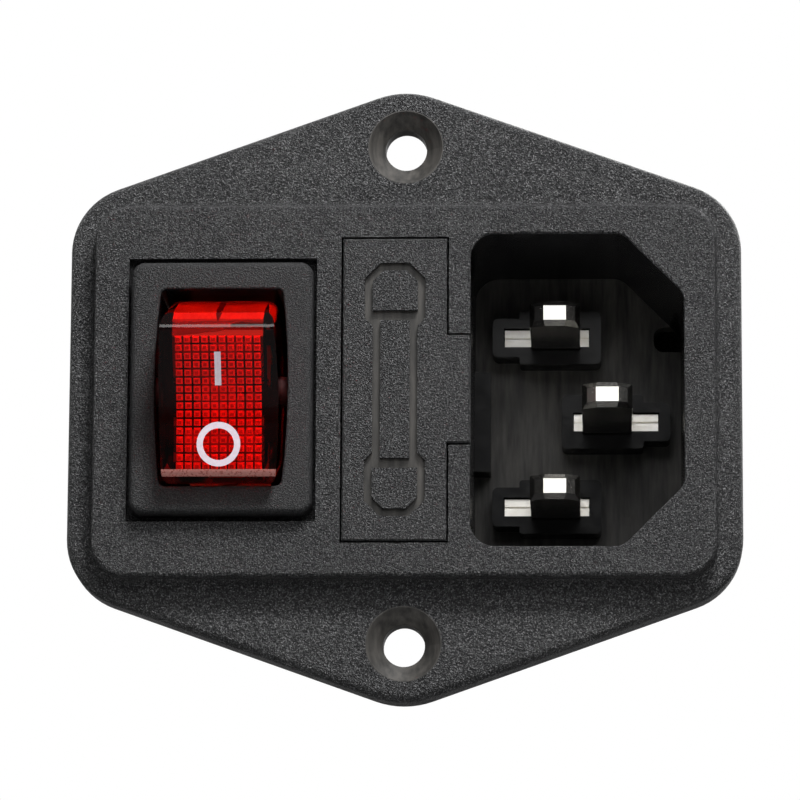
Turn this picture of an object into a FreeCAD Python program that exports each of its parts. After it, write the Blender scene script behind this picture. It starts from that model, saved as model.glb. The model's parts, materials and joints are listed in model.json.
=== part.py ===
# Panel power entry module: a moulded flange housing that holds a three-pole appliance inlet,
# a pull-out fuse drawer with a spare fuse, and a lit rocker switch snapped in from the front.
# Millimetres. X runs to the right, Z up, and the front of the panel faces -Y.
# The origin is on the flange's rear face, midway between the two screw holes.

import FreeCAD
import Part
import Sketcher
import math
import os
from FreeCAD import Placement, Rotation, Vector

SIZES = [
    # Flange, raised face and screw holes
    ("flange_side_margin", 2.1, "flange beyond the raised face, left and right"),
    ("flange_side_rise", 0.55, "sharp corner of an upright side above the raised face"),
    ("flange_point_margin", 4.59, "rounded point beyond the middle of a screw hole"),
    ("flange_thick", 3.0, "from the panel to the flange's face"),
    ("flange_corner_radius", 5.5, "plan radius of the four side corners"),
    ("flange_point_radius", 6.7, "plan radius of the top and bottom points"),
    ("flange_edge_round", 0.8, "round on the flange's front edge"),
    ("plateau_margin", 1.1, "raised face beyond the walls behind, above and below"),
    ("plateau_step", 1.7, "raised face above the flange's face"),
    ("plateau_corner_radius", 2.8, "plan radius of the raised face"),
    ("plateau_edge_round", 0.45, "round on the raised face's edge"),
    ("screw_margin", 5.1, "middle of a screw hole beyond the raised face"),
    ("screw_hole_width", 3.3, "diameter of a screw hole"),
    ("countersink_width", 5.86, "diameter of a countersink at the flange's face"),
    ("switch_margin", 2.75, "raised face left of the switch's well"),
    ("switch_lid_gap", 1.91, "raised face between the well and the lid's slot"),
    ("lid_inlet_gap", 1.71, "raised face between the lid's slot and the cavity"),
    ("inlet_margin", 2.51, "raised face right of the cavity"),
    # Walls behind the panel
    ("shroud_inset", 0.85, "outer walls inside the raised face's edge, at each side"),
    ("chamber_end_wall", 2.2, "wall above and below the fuse chamber"),
    ("inlet_end_wall", 1.3, "wall above and below the inlet's cavity"),
    ("well_end_wall", 2.0, "wall above and below the switch's well"),
    ("shroud_corner_radius", 1.2, "plan radius of the shroud"),
    ("shroud_wall", 1.5, "outer walls behind the panel"),
    ("skirt_depth", 9.0, "wall round the switch, behind the panel"),
    ("block_depth", 19.0, "closed block round the inlet and fuses, behind the panel"),
    ("cover_thick", 1.6, "rear cover plate"),
    ("cover_lip", 1.2, "locating lip of the rear cover"),
    ("cover_fit", 0.1, "clearance round the cover's lip"),
    # Inlet
    ("inlet_width", 16.8, "cavity, across"),
    ("inlet_height", 25.0, "cavity, up"),
    ("inlet_depth", 17.0, "from the raised face to the cavity's floor"),
    ("inlet_floor", 2.0, "thickness of the cavity's floor"),
    ("inlet_cut_corner", 4.9, "the two cut corners, along each side"),
    ("inlet_corner_radius", 2.0, "round corners on the fuse side"),
    ("inlet_cut_radius", 1.6, "rounds at the ends of the cut corners"),
    ("pin_width", 4.0, "blade pins"),
    ("pin_thick", 2.0, "blade pins"),
    ("pin_spacing", 14.0, "between the two outer pins"),
    ("outer_pin_offset", 1.81, "outer pins, from the cavity's middle towards the fuses"),
    ("earth_pin_offset", 2.36, "earth pin, from the cavity's middle away from the fuses"),
    ("outer_pin_recess", 4.2, "outer pin tips behind the raised face"),
    ("earth_pin_recess", 2.2, "earth pin tip behind the raised face"),
    ("tip_flat", 1.8, "flat at a pin's tip, across"),
    ("tip_knee_width", 3.2, "width at the knee of the tip's bevels"),
    ("tip_knee", 0.5, "knee behind the tip"),
    ("tip_length", 1.4, "whole bevel, from the tip to the full width"),
    ("pin_tip_bevel", 0.42, "bevels above and below a pin's tip"),
    ("pin_edge", 0.14, "broken long edges of a pin"),
    ("blade_thick", 1.4, "folded plate that the pin stands on"),
    ("blade_long_shoulder", 2.15, "shoulder on one side of the pin"),
    ("blade_short_shoulder", 0.7, "shoulder on the other side"),
    ("blade_seam", 0.14, "open fold line across a shoulder"),
    ("blade_seam_depth", 0.45, "open fold line, into the metal"),
    ("blade_fit", 0.08, "clearance round a blade in its slot"),
    ("blade_sunk", 0.4, "shoulder below the boss's face"),
    ("boss_height", 2.9, "bosses round the blades, above the cavity's floor"),
    ("boss_main", 2.2, "half height of a boss round the pin"),
    ("boss_arm", 1.6, "half height of a boss round the long shoulder"),
    ("boss_margin", 1.0, "boss beyond the blade, along it"),
    ("boss_arm_length", 2.2, "lower arm of a boss, at the blade's long side"),
    ("boss_corner_radius", 0.5, "plan radius of a boss"),
    ("ledge_width", 1.3, "rib on the cavity's floor beside the fuse drawer"),
    ("ledge_length", 8.2, "rib, up"),
    ("ledge_height", 3.0, "rib above the floor"),
    ("notch_width", 2.2, "core hole through the cavity's floor, across"),
    ("notch_height", 2.1, "core hole, up"),
    ("notch_rise", 7.4, "core hole above the middle"),
    ("rim_round", 0.3, "round on the rims of the cavity and the switch's window"),
    ("tab_width", 4.8, "solder tabs, across"),
    ("tab_thick", 0.8, "solder tabs"),
    ("tab_reach", 8.4, "solder tabs beyond the rear cover"),
    ("tab_hole", 1.7, "diameter of the hole in a tab"),
    ("tab_bevel", 1.0, "cut corners of a tab"),
    # Fuse drawer and fuses
    ("lid_width", 8.2, "drawer's lid, across"),
    ("lid_overlap", 0.7, "lid beyond the tray, above and below"),
    ("lid_edge", 0.12, "broken front edges of the lid"),
    ("lid_thick", 1.8, "drawer's lid"),
    ("lid_proud", 0.1, "lid in front of the raised face"),
    ("lid_fit", 0.16, "gap round the lid"),
    ("lid_seat", 0.05, "gap behind the lid"),
    ("finger_height", 8.65, "pull finger that reaches the inlet's cavity"),
    ("tray_width", 7.0, "drawer's tray, across"),
    ("tray_end", 1.3, "tray's walls beyond the fuses"),
    ("tray_fit", 0.2, "gap round the tray"),
    ("fuse_length", 20.0, "cartridge fuse"),
    ("fuse_cap_width", 5.2, "diameter of a fuse's caps"),
    ("fuse_cap_length", 5.0, "fuse caps"),
    ("fuse_cap_wall", 0.25, "fuse caps' sheet"),
    ("fuse_glass_wall", 0.6, "fuse's glass tube"),
    ("fuse_wire_width", 0.3, "fuse's wire"),
    ("fuse_fit", 0.1, "clearance round a fuse in the tray"),
    ("spare_fuse_y", 1.2, "axis of the spare fuse, behind the panel"),
    ("live_fuse_y", 8.6, "axis of the working fuse, behind the panel"),
    ("cradle_lip", 0.9, "cradle beyond the working fuse's axis"),
    ("contact_thick", 0.5, "fuse contact springs"),
    ("contact_width", 4.2, "fuse contact springs, across"),
    ("contact_gap", 0.08, "fuse contact to the fuse's cap"),
    ("contact_stand", 0.3, "fuse contact springs off the chamber's wall"),
    ("contact_rise", 3.2, "rear foot of a fuse contact's bump behind the fuse's axis"),
    ("contact_nose", 2.4, "front end of a fuse contact ahead of the fuse's axis"),
    ("contact_room", 0.4, "tray's slot beside a fuse contact"),
    ("contact_nose_room", 0.6, "tray's slot ahead of a fuse contact"),
    ("link_thick", 0.6, "strip from the line blade to the fuse"),
    ("link_width", 2.0, "strip from the line blade to the fuse"),
    ("link_set_in", 0.2, "strip ahead of the blade's rear end"),
    ("link_room", 0.6, "passage above and below the strip"),
    # Fuse sign sunk in the lid
    ("sign_centre_x", 0.02, "middle of the sign, from the lid's middle"),
    ("sign_height", 20.3, "sign, up"),
    ("sign_head_width", 4.8, "sign's heads, across"),
    ("sign_head_height", 4.45, "sign's heads, up"),
    ("sign_neck_width", 3.55, "sign's stem, across"),
    ("sign_band", 0.62, "sunk band round the sign"),
    ("sign_depth", 0.4, "sunk band"),
    ("sign_corner", 1.25, "cut outer corners of a head"),
    ("sign_shoulder", 0.62, "cut corners where a head meets the stem"),
    # Switch frame
    ("bezel_width", 14.6, "bezel, across"),
    ("bezel_height", 20.8, "bezel, up"),
    ("bezel_thick", 2.0, "bezel"),
    ("bezel_proud", 1.0, "bezel in front of the raised face"),
    ("bezel_fit", 0.15, "gap round the bezel in its well"),
    ("bezel_corner_radius", 1.1, "plan radius of the bezel"),
    ("bezel_edge_round", 0.55, "round on the bezel's front edge"),
    ("switch_web", 2.5, "housing's web that the switch snaps into"),
    ("body_width", 12.8, "switch body, across"),
    ("body_height", 19.0, "switch body, up"),
    ("body_depth", 13.5, "switch body behind the bezel"),
    ("body_floor", 1.5, "switch body's rear wall"),
    ("body_fit", 0.12, "gap round the switch body in the web"),
    ("window_height", 15.7, "window in the bezel, up"),
    ("window_end_width", 9.55, "window, across its ends"),
    ("window_mid_width", 10.45, "window, across its middle"),
    ("latch_width", 6.0, "snap tongues, across"),
    ("latch_height", 0.85, "snap tongues, out of the body"),
    ("latch_length", 5.0, "snap tongues, along the body"),
    ("latch_land", 0.6, "snap tongues' full height, along the body"),
    ("latch_root", 0.2, "snap tongues' root inside the body"),
    ("latch_play", 0.05, "snap tongues behind the web"),
    ("window_corner_radius", 0.5, "corners of the window"),
    # Rocker
    ("rocker_tilt", 18.0, "degrees either side of its middle"),
    ("rocker_pivot_depth", 2.0, "pivot behind the bezel's face"),
    ("rocker_half_length", 5.8, "ridge from the middle"),
    ("rocker_ridge_height", 5.57, "ridge above the pivot"),
    ("rocker_brow_half", 6.74, "brow, where a ridge's end face meets the end wall"),
    ("rocker_brow_height", 4.3, "brow above the pivot"),
    ("rocker_dish_angle", 12.0, "degrees, slope of each half towards the middle"),
    ("rocker_skirt_half", 6.95, "end walls from the middle, at the skirt"),
    ("rocker_skirt_depth", 2.0, "skirt below the pivot"),
    ("rocker_end_width", 8.75, "rocker, across its ends"),
    ("rocker_mid_width", 9.4, "rocker, across its middle"),
    ("rocker_wall", 1.0, "rocker's top and end walls"),
    ("rocker_hollow_width", 7.1, "rocker's hollow, across"),
    ("rocker_ridge_round", 0.6, "round on the ridges"),
    ("rocker_dish_radius", 9.0, "round of the dish between the two halves"),
    ("rocker_corner_radius", 1.1, "plan radius of the rocker's four corners"),
    ("trunnion_width", 2.3, "diameter of the rocker's pivots"),
    ("trunnion_reach", 0.85, "pivots beyond the rocker's sides"),
    ("trunnion_fit", 0.06, "radial clearance of the pivots"),
    ("guide_width", 3.6, "diameter of the plunger's guide"),
    ("guide_depth", 3.4, "guide below the pivot"),
    ("plunger_width", 2.6, "diameter of the plunger"),
    ("plunger_fit", 0.05, "radial clearance of the plunger"),
    ("plunger_ball", 6.5, "centre of the plunger's round end below the pivot"),
    ("plunger_length", 4.4, "straight part of the plunger"),
    ("spring_wire", 0.36, "plunger spring's wire"),
    ("spring_pitch", 0.95, "plunger spring"),
    ("lamp_width", 3.0, "diameter of the neon lamp"),
    ("lamp_length", 6.4, "neon lamp"),
    ("lamp_offset", 3.6, "lamp and resistor from the middle"),
    ("resistor_width", 1.9, "diameter of the lamp's resistor"),
    ("resistor_length", 5.6, "lamp's resistor"),
    ("lamp_seat", 0.25, "lamp and resistor below the hollow's roof"),
    ("lead_wire", 0.5, "lamp's and resistor's lead wires"),
    ("lead_x", 2.3, "lead wires and lamp springs, sideways"),
    ("lamp_spring_width", 1.9, "diameter of the lamp springs"),
    ("lamp_spring_wire", 0.3, "lamp springs' wire"),
    ("lamp_spring_pitch", 1.7, "lamp springs"),
    ("lamp_spring_z", 3.45, "lamp springs above and below the middle"),
    # Contacts in the switch
    ("terminal_pitch", 7.0, "between the switch's three tabs"),
    ("saddle_gap", 1.3, "uprights of the saddle from the middle"),
    ("saddle_wall", 0.7, "uprights of the saddle"),
    ("saddle_length", 3.2, "uprights of the saddle, up"),
    ("seesaw_width", 2.3, "moving contact, across"),
    ("seesaw_thick", 0.8, "moving contact"),
    ("seesaw_reach", 5.7, "moving contact, each arm"),
    ("seesaw_bend", 19.5, "degrees, slope of each arm"),
    ("seesaw_bend_radius", 2.0, "inner radius of the bend between the arms"),
    ("seesaw_tilt", 9.0, "degrees either side of its middle"),
    ("seesaw_gap", 1.62, "moving contact's trough below the plunger's centre"),
    ("seesaw_pin", 0.8, "diameter of the moving contact's pivot"),
    ("seesaw_fit", 0.05, "radial clearance of that pivot"),
    ("rivet_width", 2.0, "diameter of the silver contacts"),
    ("rivet_thick", 0.5, "silver contacts"),
    ("rivet_gap", 0.06, "closed silver contacts apart"),
    ("rivet_z", 4.7, "silver contacts below the middle"),
    ("shelf_length", 4.2, "shelves of the outer terminals"),
]

doc = FreeCAD.newDocument("PowerEntryModule")
sheet = doc.addObject("Spreadsheet::Sheet", "Sizes")


class Size:
    """A length or angle as a number and as the expression that the document works it out from."""

    def __init__(self, text, value):
        self.text = text
        self.value = value

    def __add__(self, other):
        other = as_size(other)
        return Size(f"({self.text} + {other.text})", self.value + other.value)

    def __sub__(self, other):
        other = as_size(other)
        return Size(f"({self.text} - {other.text})", self.value - other.value)

    def __mul__(self, other):
        other = as_size(other)
        return Size(f"({self.text} * {other.text})", self.value * other.value)

    def __truediv__(self, other):
        other = as_size(other)
        return Size(f"({self.text} / {other.text})", self.value / other.value)

    def __neg__(self):
        return Size(f"(0 - {self.text})", -self.value)

    def __radd__(self, other):
        return as_size(other) + self

    def __rsub__(self, other):
        return as_size(other) - self

    def __rmul__(self, other):
        return as_size(other) * self


def as_size(value):
    """A plain number as a Size."""
    if isinstance(value, Size):
        return value
    return Size(f"({value:.12g})", float(value))


def sin_of(angle):
    return Size(f"sin({angle.text} * 1 deg)", math.sin(math.radians(angle.value)))


def cos_of(angle):
    return Size(f"cos({angle.text} * 1 deg)", math.cos(math.radians(angle.value)))


def tan_of(angle):
    return sin_of(angle) / cos_of(angle)


def root_of(square):
    return Size(f"sqrt({square.text})", math.sqrt(square.value))


def largest_of(*sizes):
    return Size(
        f"max({'; '.join(size.text for size in sizes)})", max(size.value for size in sizes)
    )


def read_sizes():
    """Writes the table into the sheet and returns each size by its name."""
    found = {}
    for row, (alias, value, note) in enumerate(SIZES, start=1):
        sheet.set(f"A{row}", str(value))
        sheet.setAlias(f"A{row}", alias)
        sheet.set(f"B{row}", note)
        found[alias] = Size(f"Sizes.{alias}", float(value))
    doc.recompute()
    return found


S = read_sizes()

# Planes and lines that several pieces share
FLANGE_FACE = -S["flange_thick"]
FACE = FLANGE_FACE - S["plateau_step"]
CAVITY_FLOOR = FACE + S["inlet_depth"]
BAY_FRONT = CAVITY_FLOOR + S["inlet_floor"]
BOSS_FACE = CAVITY_FLOOR - S["boss_height"]
SHOULDER_FACE = BOSS_FACE + S["blade_sunk"]
COVER_REAR = S["block_depth"] + S["cover_thick"]
TAB_END = COVER_REAR + S["tab_reach"]
LID_FRONT = FACE - S["lid_proud"]
LID_REAR = LID_FRONT + S["lid_thick"]
SLOT_FLOOR = LID_REAR + S["lid_seat"]
BEZEL_FACE = FACE - S["bezel_proud"]
WELL_FLOOR = BEZEL_FACE + S["bezel_thick"]
WEB_REAR = WELL_FLOOR + S["switch_web"]
BODY_REAR = WELL_FLOOR + S["body_depth"]
BODY_FLOOR = BODY_REAR - S["body_floor"]
PIVOT_Y = BEZEL_FACE + S["rocker_pivot_depth"]
# From left to right: margin, switch well, gap, lid slot, gap, inlet cavity, margin.
WELL_WIDTH = S["bezel_width"] + 2 * S["bezel_fit"]
SLOT_WIDTH = S["lid_width"] + 2 * S["lid_fit"]
PLATEAU_WIDTH = (
    S["switch_margin"] + WELL_WIDTH + S["switch_lid_gap"] + SLOT_WIDTH
    + S["lid_inlet_gap"] + S["inlet_width"] + S["inlet_margin"]
)
PLATEAU_RIGHT = PLATEAU_WIDTH / 2
SWITCH_X = S["switch_margin"] + WELL_WIDTH / 2 - PLATEAU_RIGHT
DRAWER_X = SWITCH_X + WELL_WIDTH / 2 + S["switch_lid_gap"] + SLOT_WIDTH / 2
INLET_RIGHT = PLATEAU_RIGHT - S["inlet_margin"]
INLET_LEFT = INLET_RIGHT - S["inlet_width"]
INLET_X = INLET_RIGHT - S["inlet_width"] / 2
OUTER_PIN_X = INLET_X - S["outer_pin_offset"]
EARTH_PIN_X = INLET_X + S["earth_pin_offset"]
# Upwards: the fuses set the tray, and the tallest of the three openings sets the walls.
TRAY_HEIGHT = S["fuse_length"] + 2 * S["fuse_fit"] + 2 * S["tray_end"]
LID_HEIGHT = TRAY_HEIGHT + 2 * S["lid_overlap"]
CHAMBER_WIDTH = S["tray_width"] + 2 * S["tray_fit"]
CHAMBER_HEIGHT = TRAY_HEIGHT + 2 * S["tray_fit"]
CHAMBER_LEFT = DRAWER_X - CHAMBER_WIDTH / 2
CHAMBER_RIGHT = DRAWER_X + CHAMBER_WIDTH / 2
SHROUD_TOP = largest_of(
    CHAMBER_HEIGHT / 2 + S["chamber_end_wall"],
    S["inlet_height"] / 2 + S["inlet_end_wall"],
    S["bezel_height"] / 2 + S["bezel_fit"] + S["well_end_wall"],
)
SHROUD_RIGHT = PLATEAU_RIGHT - S["shroud_inset"]
PLATEAU_TOP = SHROUD_TOP + S["plateau_margin"]
SCREW_Z = PLATEAU_TOP + S["screw_margin"]
BLOCK_LEFT = CHAMBER_LEFT - S["shroud_wall"]
BAY_LEFT = INLET_LEFT - S["shroud_wall"] / 3
BAY_TOP = SHROUD_TOP - S["shroud_wall"]
PIN_Z = S["pin_spacing"] / 2
PIN_HALF = S["pin_width"] / 2


# Sketches and features

def new_body(name):
    """A body whose label names its file."""
    body = doc.addObject("PartDesign::Body", name)
    body.Label = name
    return body


def new_sketch(body, name, role, offset):
    """A sketch on one of the body's own origin planes, moved along that plane's normal.
    The normal is -Y on XZ_Plane, +X on YZ_Plane and +Z on XY_Plane."""
    sketch = body.newObject("Sketcher::SketchObject", name)
    plane = [item for item in body.Origin.OriginFeatures if item.Role == role][0]
    sketch.AttachmentSupport = [(plane, "")]
    sketch.MapMode = "FlatFace"
    sketch.setExpression("AttachmentOffset.Base.z", as_size(offset).text)
    return sketch


def pin_point(sketch, geometry, point, x, y):
    """Fixes one point of a sketch at a distance from its origin, bound to the sheet."""
    for kind, coordinate in (("DistanceX", x), ("DistanceY", y)):
        coordinate = as_size(coordinate)
        sketch.addConstraint(
            Sketcher.Constraint(kind, -1, 1, geometry, point, coordinate.value)
        )
        sketch.setExpression(
            f"Constraints[{sketch.ConstraintCount - 1}]", coordinate.text
        )


def bind_radius(sketch, geometry, radius):
    """Fixes the radius of a sketch's circle or arc, bound to the sheet."""
    sketch.addConstraint(Sketcher.Constraint("Radius", geometry, radius.value))
    sketch.setExpression(f"Constraints[{sketch.ConstraintCount - 1}]", radius.text)


def draw_circle(sketch, x, y, radius):
    circle = Part.Circle(
        Vector(as_size(x).value, as_size(y).value, 0), Vector(0, 0, 1), radius.value
    )
    index = sketch.addGeometry(circle)
    pin_point(sketch, index, 3, x, y)
    bind_radius(sketch, index, radius)


def draw_outline(sketch, corners):
    """A closed outline of straight sides. Each corner is (x, y) or (x, y, radius): a corner with
    a radius is an arc tangent to its two sides, held by a construction point on their crossing."""
    sharp = [
        Vector(as_size(corner[0]).value, as_size(corner[1]).value, 0)
        for corner in corners
    ]
    count = len(corners)
    ends = []
    for index, corner in enumerate(corners):
        if len(corner) == 2:
            ends.append((sharp[index], sharp[index]))
            continue
        to_last = (sharp[index - 1] - sharp[index]).normalize()
        to_next = (sharp[(index + 1) % count] - sharp[index]).normalize()
        setback = corner[2].value / math.tan(to_last.getAngle(to_next) / 2)
        ends.append(
            (sharp[index] + to_last * setback, sharp[index] + to_next * setback)
        )
    sides = [
        sketch.addGeometry(
            Part.LineSegment(ends[index][1], ends[(index + 1) % count][0])
        )
        for index in range(count)
    ]
    for index, corner in enumerate(corners):
        before = sides[index - 1]
        after = sides[index]
        if len(corner) == 2:
            sketch.addConstraint(Sketcher.Constraint("Coincident", before, 2, after, 1))
            pin_point(sketch, after, 1, corner[0], corner[1])
            continue
        start, finish = ends[index]
        inward = (start - sharp[index]) + (finish - sharp[index])
        reach = corner[2].value / math.sin(
            (start - sharp[index]).getAngle(finish - sharp[index]) / 2
        )
        centre = sharp[index] + inward.normalize() * reach
        middle = sharp[index] + inward * (reach - corner[2].value)
        arc = sketch.addGeometry(Part.Arc(start, middle, finish))
        turn = (start - centre).cross(finish - centre).z
        first, last = (1, 2) if turn > 0 else (2, 1)
        sketch.addConstraint(Sketcher.Constraint("Tangent", before, 2, arc, first))
        sketch.addConstraint(Sketcher.Constraint("Tangent", arc, last, after, 1))
        bind_radius(sketch, arc, corner[2])
        crossing = sketch.addGeometry(Part.Point(sharp[index]), True)
        for side in (before, after):
            sketch.addConstraint(
                Sketcher.Constraint("PointOnObject", crossing, 1, side)
            )
        pin_point(sketch, crossing, 1, corner[0], corner[1])


def rectangle(x_low, x_high, y_low, y_high, radius=None):
    """The corners of an upright rectangle, with the same radius or none."""
    points = [(x_low, y_low), (x_high, y_low), (x_high, y_high), (x_low, y_high)]
    if radius is None:
        return points
    return [point + (radius,) for point in points]


def feature(body, kind, name, sketch, length, middle=False, flipped=False):
    """A Pad or a Pocket of a sketch. A plain Pocket cuts against the sketch's normal."""
    made = body.newObject(f"PartDesign::{kind}", name)
    made.Profile = sketch
    made.setExpression("Length", as_size(length).text)
    if middle:
        made.SideType = "Symmetric"
    made.Reversed = flipped
    sketch.Visibility = False
    return made


def front_pad(body, name, outlines, y_front, y_rear):
    """Material between two depths, from outlines that lie in the XZ plane."""
    sketch = new_sketch(body, f"{name}_sketch", "XZ_Plane", -as_size(y_rear))
    for outline in outlines:
        draw_outline(sketch, outline)
    return feature(body, "Pad", name, sketch, y_rear - y_front)


def front_cut(body, name, outlines, y_front, y_rear):
    """A pocket between two depths, from outlines that lie in the XZ plane."""
    sketch = new_sketch(body, f"{name}_sketch", "XZ_Plane", -as_size(y_front))
    for outline in outlines:
        draw_outline(sketch, outline)
    return feature(body, "Pocket", name, sketch, y_rear - y_front)


def side_pad(body, name, outlines, x_middle, width):
    """Material of a width in X about a middle, from outlines drawn as (y, z)."""
    sketch = new_sketch(body, f"{name}_sketch", "YZ_Plane", x_middle)
    for outline in outlines:
        draw_outline(sketch, outline)
    return feature(body, "Pad", name, sketch, width, middle=True)


def side_cut(body, name, outlines, x_middle, width):
    """A pocket of a width in X about a middle, from outlines drawn as (y, z)."""
    sketch = new_sketch(body, f"{name}_sketch", "YZ_Plane", x_middle)
    for outline in outlines:
        draw_outline(sketch, outline)
    return feature(body, "Pocket", name, sketch, width, middle=True)


def plan_pad(body, name, outlines, z_middle, height):
    """Material of a height in Z about a middle, from outlines drawn as (x, y)."""
    sketch = new_sketch(body, f"{name}_sketch", "XY_Plane", z_middle)
    for outline in outlines:
        draw_outline(sketch, outline)
    return feature(body, "Pad", name, sketch, height, middle=True)


def plan_cut(body, name, outlines, z_middle, height):
    """A pocket of a height in Z about a middle, from outlines drawn as (x, y)."""
    sketch = new_sketch(body, f"{name}_sketch", "XY_Plane", z_middle)
    for outline in outlines:
        draw_outline(sketch, outline)
    return feature(body, "Pocket", name, sketch, height, middle=True)


def turned(body, name, outline):
    """A solid turned about the Y axis of the body, from an outline drawn as (x, y)."""
    sketch = new_sketch(body, f"{name}_sketch", "XY_Plane", 0)
    draw_outline(sketch, outline)
    made = body.newObject("PartDesign::Revolution", name)
    made.Profile = sketch
    made.ReferenceAxis = (sketch, ["V_Axis"])
    made.Angle = 360
    sketch.Visibility = False
    return made


def edges_where(shape, test):
    """The names of the edges whose box passes a test."""
    return [
        f"Edge{index}"
        for index, edge in enumerate(shape.Edges, start=1)
        if test(edge.BoundBox)
    ]


def dress(body, kind, name, size, test):
    """A Fillet or a Chamfer on the edges of the body's last feature that pass a test."""
    doc.recompute()
    base = body.Tip
    names = edges_where(base.Shape, test)
    if not names:
        raise ValueError(f"{name} found no edge")
    made = body.newObject(f"PartDesign::{kind}", name)
    made.Base = (base, names)
    binding = "Radius" if kind == "Fillet" else "Size"
    made.setExpression(binding, as_size(size).text)
    return made


def lies_at(low, high, level):
    return abs(low - level.value) < 1e-4 and abs(high - level.value) < 1e-4


def place(item, x=0, y=0, z=0):
    """Binds the place of a piece to the sheet."""
    for axis, value in (("x", x), ("y", y), ("z", z)):
        item.setExpression(f"Placement.Base.{axis}", as_size(value).text)


def tilt_about(item, x, pivot_y, angle):
    """Turns a piece about the X axis through (pivot_y, 0) and moves it sideways."""
    item.Placement = Placement(Vector(0, 0, 0), Rotation(Vector(1, 0, 0), 1))
    item.setExpression("Placement.Rotation.Angle", f"{angle.text} * 1 deg")
    place(item, x, pivot_y * (1 - cos_of(angle)), -pivot_y * sin_of(angle))


def slit_tab(body, name, x_middle, y_front, y_rear, z_middle, bevel_end=True):
    """A flat solder tab that points to the rear, with cut corners and a hole."""
    half = S["tab_width"] / 2
    cut = S["tab_bevel"]
    outline = [
        (x_middle - half, y_front),
        (x_middle + half, y_front),
        (x_middle + half, y_rear - cut),
        (x_middle + half - cut, y_rear),
        (x_middle - half + cut, y_rear),
        (x_middle - half, y_rear - cut),
    ]
    plan_pad(body, name, [outline], z_middle, S["tab_thick"])
    hole = new_sketch(body, f"{name}_hole_sketch", "XY_Plane", z_middle)
    draw_circle(hole, x_middle, y_rear - S["tab_reach"] * 0.32, S["tab_hole"] / 2)
    return feature(body, "Pocket", f"{name}_hole", hole, S["tab_thick"] * 2, middle=True)


# The housing is one moulding: flange, raised face, inlet cavity, fuse chamber, switch well.

def flange_outline():
    half = PLATEAU_RIGHT + S["flange_side_margin"]
    side = PLATEAU_TOP + S["flange_side_rise"]
    top = SCREW_Z + S["flange_point_margin"]
    slope_reach = top - side
    # The points are rounded, so the sharp points lie beyond the flange's height.
    run = root_of(half * half + slope_reach * slope_reach)
    point = top + S["flange_point_radius"] * (run / half - 1)
    corner = S["flange_corner_radius"]
    tip = S["flange_point_radius"]
    return [
        (half, side, corner),
        (as_size(0), point, tip),
        (-half, side, corner),
        (-half, -side, corner),
        (as_size(0), -point, tip),
        (half, -side, corner),
    ]


def inlet_outline():
    """The cavity of the inlet: two round corners beside the fuses, two cut corners opposite."""
    top = S["inlet_height"] / 2
    cut = S["inlet_cut_corner"]
    soft = S["inlet_corner_radius"]
    blunt = S["inlet_cut_radius"]
    return [
        (INLET_LEFT, -top, soft),
        (INLET_RIGHT - cut, -top, blunt),
        (INLET_RIGHT, -top + cut, blunt),
        (INLET_RIGHT, top - cut, blunt),
        (INLET_RIGHT - cut, top, blunt),
        (INLET_LEFT, top, soft),
    ]


def lid_outline(grow, finger_end):
    """The lid with its pull finger, grown evenly for the slot that it lies in."""
    half = S["lid_width"] / 2 + grow
    top = LID_HEIGHT / 2 + grow
    finger = S["finger_height"] / 2 + grow
    return [
        (-half, -top),
        (half, -top),
        (half, -finger),
        (finger_end, -finger),
        (finger_end, finger),
        (half, finger),
        (half, top),
        (-half, top),
    ]


def blade_span(mirrored):
    """How far a blade's plate reaches to the left and right of its pin's middle."""
    long_side = PIN_HALF + S["blade_long_shoulder"]
    short_side = PIN_HALF + S["blade_short_shoulder"]
    return (short_side, long_side) if mirrored else (long_side, short_side)


def boss_outline(x, z, mirrored):
    """A boss round a blade: high round the pin, with a lower arm at the long shoulder."""
    left, right = blade_span(mirrored)
    low = x - left - S["boss_margin"]
    high = x + right + S["boss_margin"]
    main = S["boss_main"]
    arm = S["boss_arm"]
    soft = S["boss_corner_radius"]
    inner = soft / 2
    if mirrored:
        step = high - S["boss_arm_length"]
        return [
            (low, z - main, soft),
            (step, z - main, inner),
            (step, z - arm),
            (high, z - arm, soft),
            (high, z + arm, soft),
            (step, z + arm),
            (step, z + main, inner),
            (low, z + main, soft),
        ]
    step = low + S["boss_arm_length"]
    return [
        (low, z - arm, soft),
        (step, z - arm),
        (step, z - main, inner),
        (high, z - main, soft),
        (high, z + main, soft),
        (step, z + main, inner),
        (step, z + arm),
        (low, z + arm, soft),
    ]


BLADES = [
    # name, x, z, mirrored, tip behind the face
    ("line", OUTER_PIN_X, PIN_Z, False, "outer_pin_recess"),
    ("neutral", OUTER_PIN_X, -PIN_Z, False, "outer_pin_recess"),
    ("earth", EARTH_PIN_X, as_size(0), True, "earth_pin_recess"),
]


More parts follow.
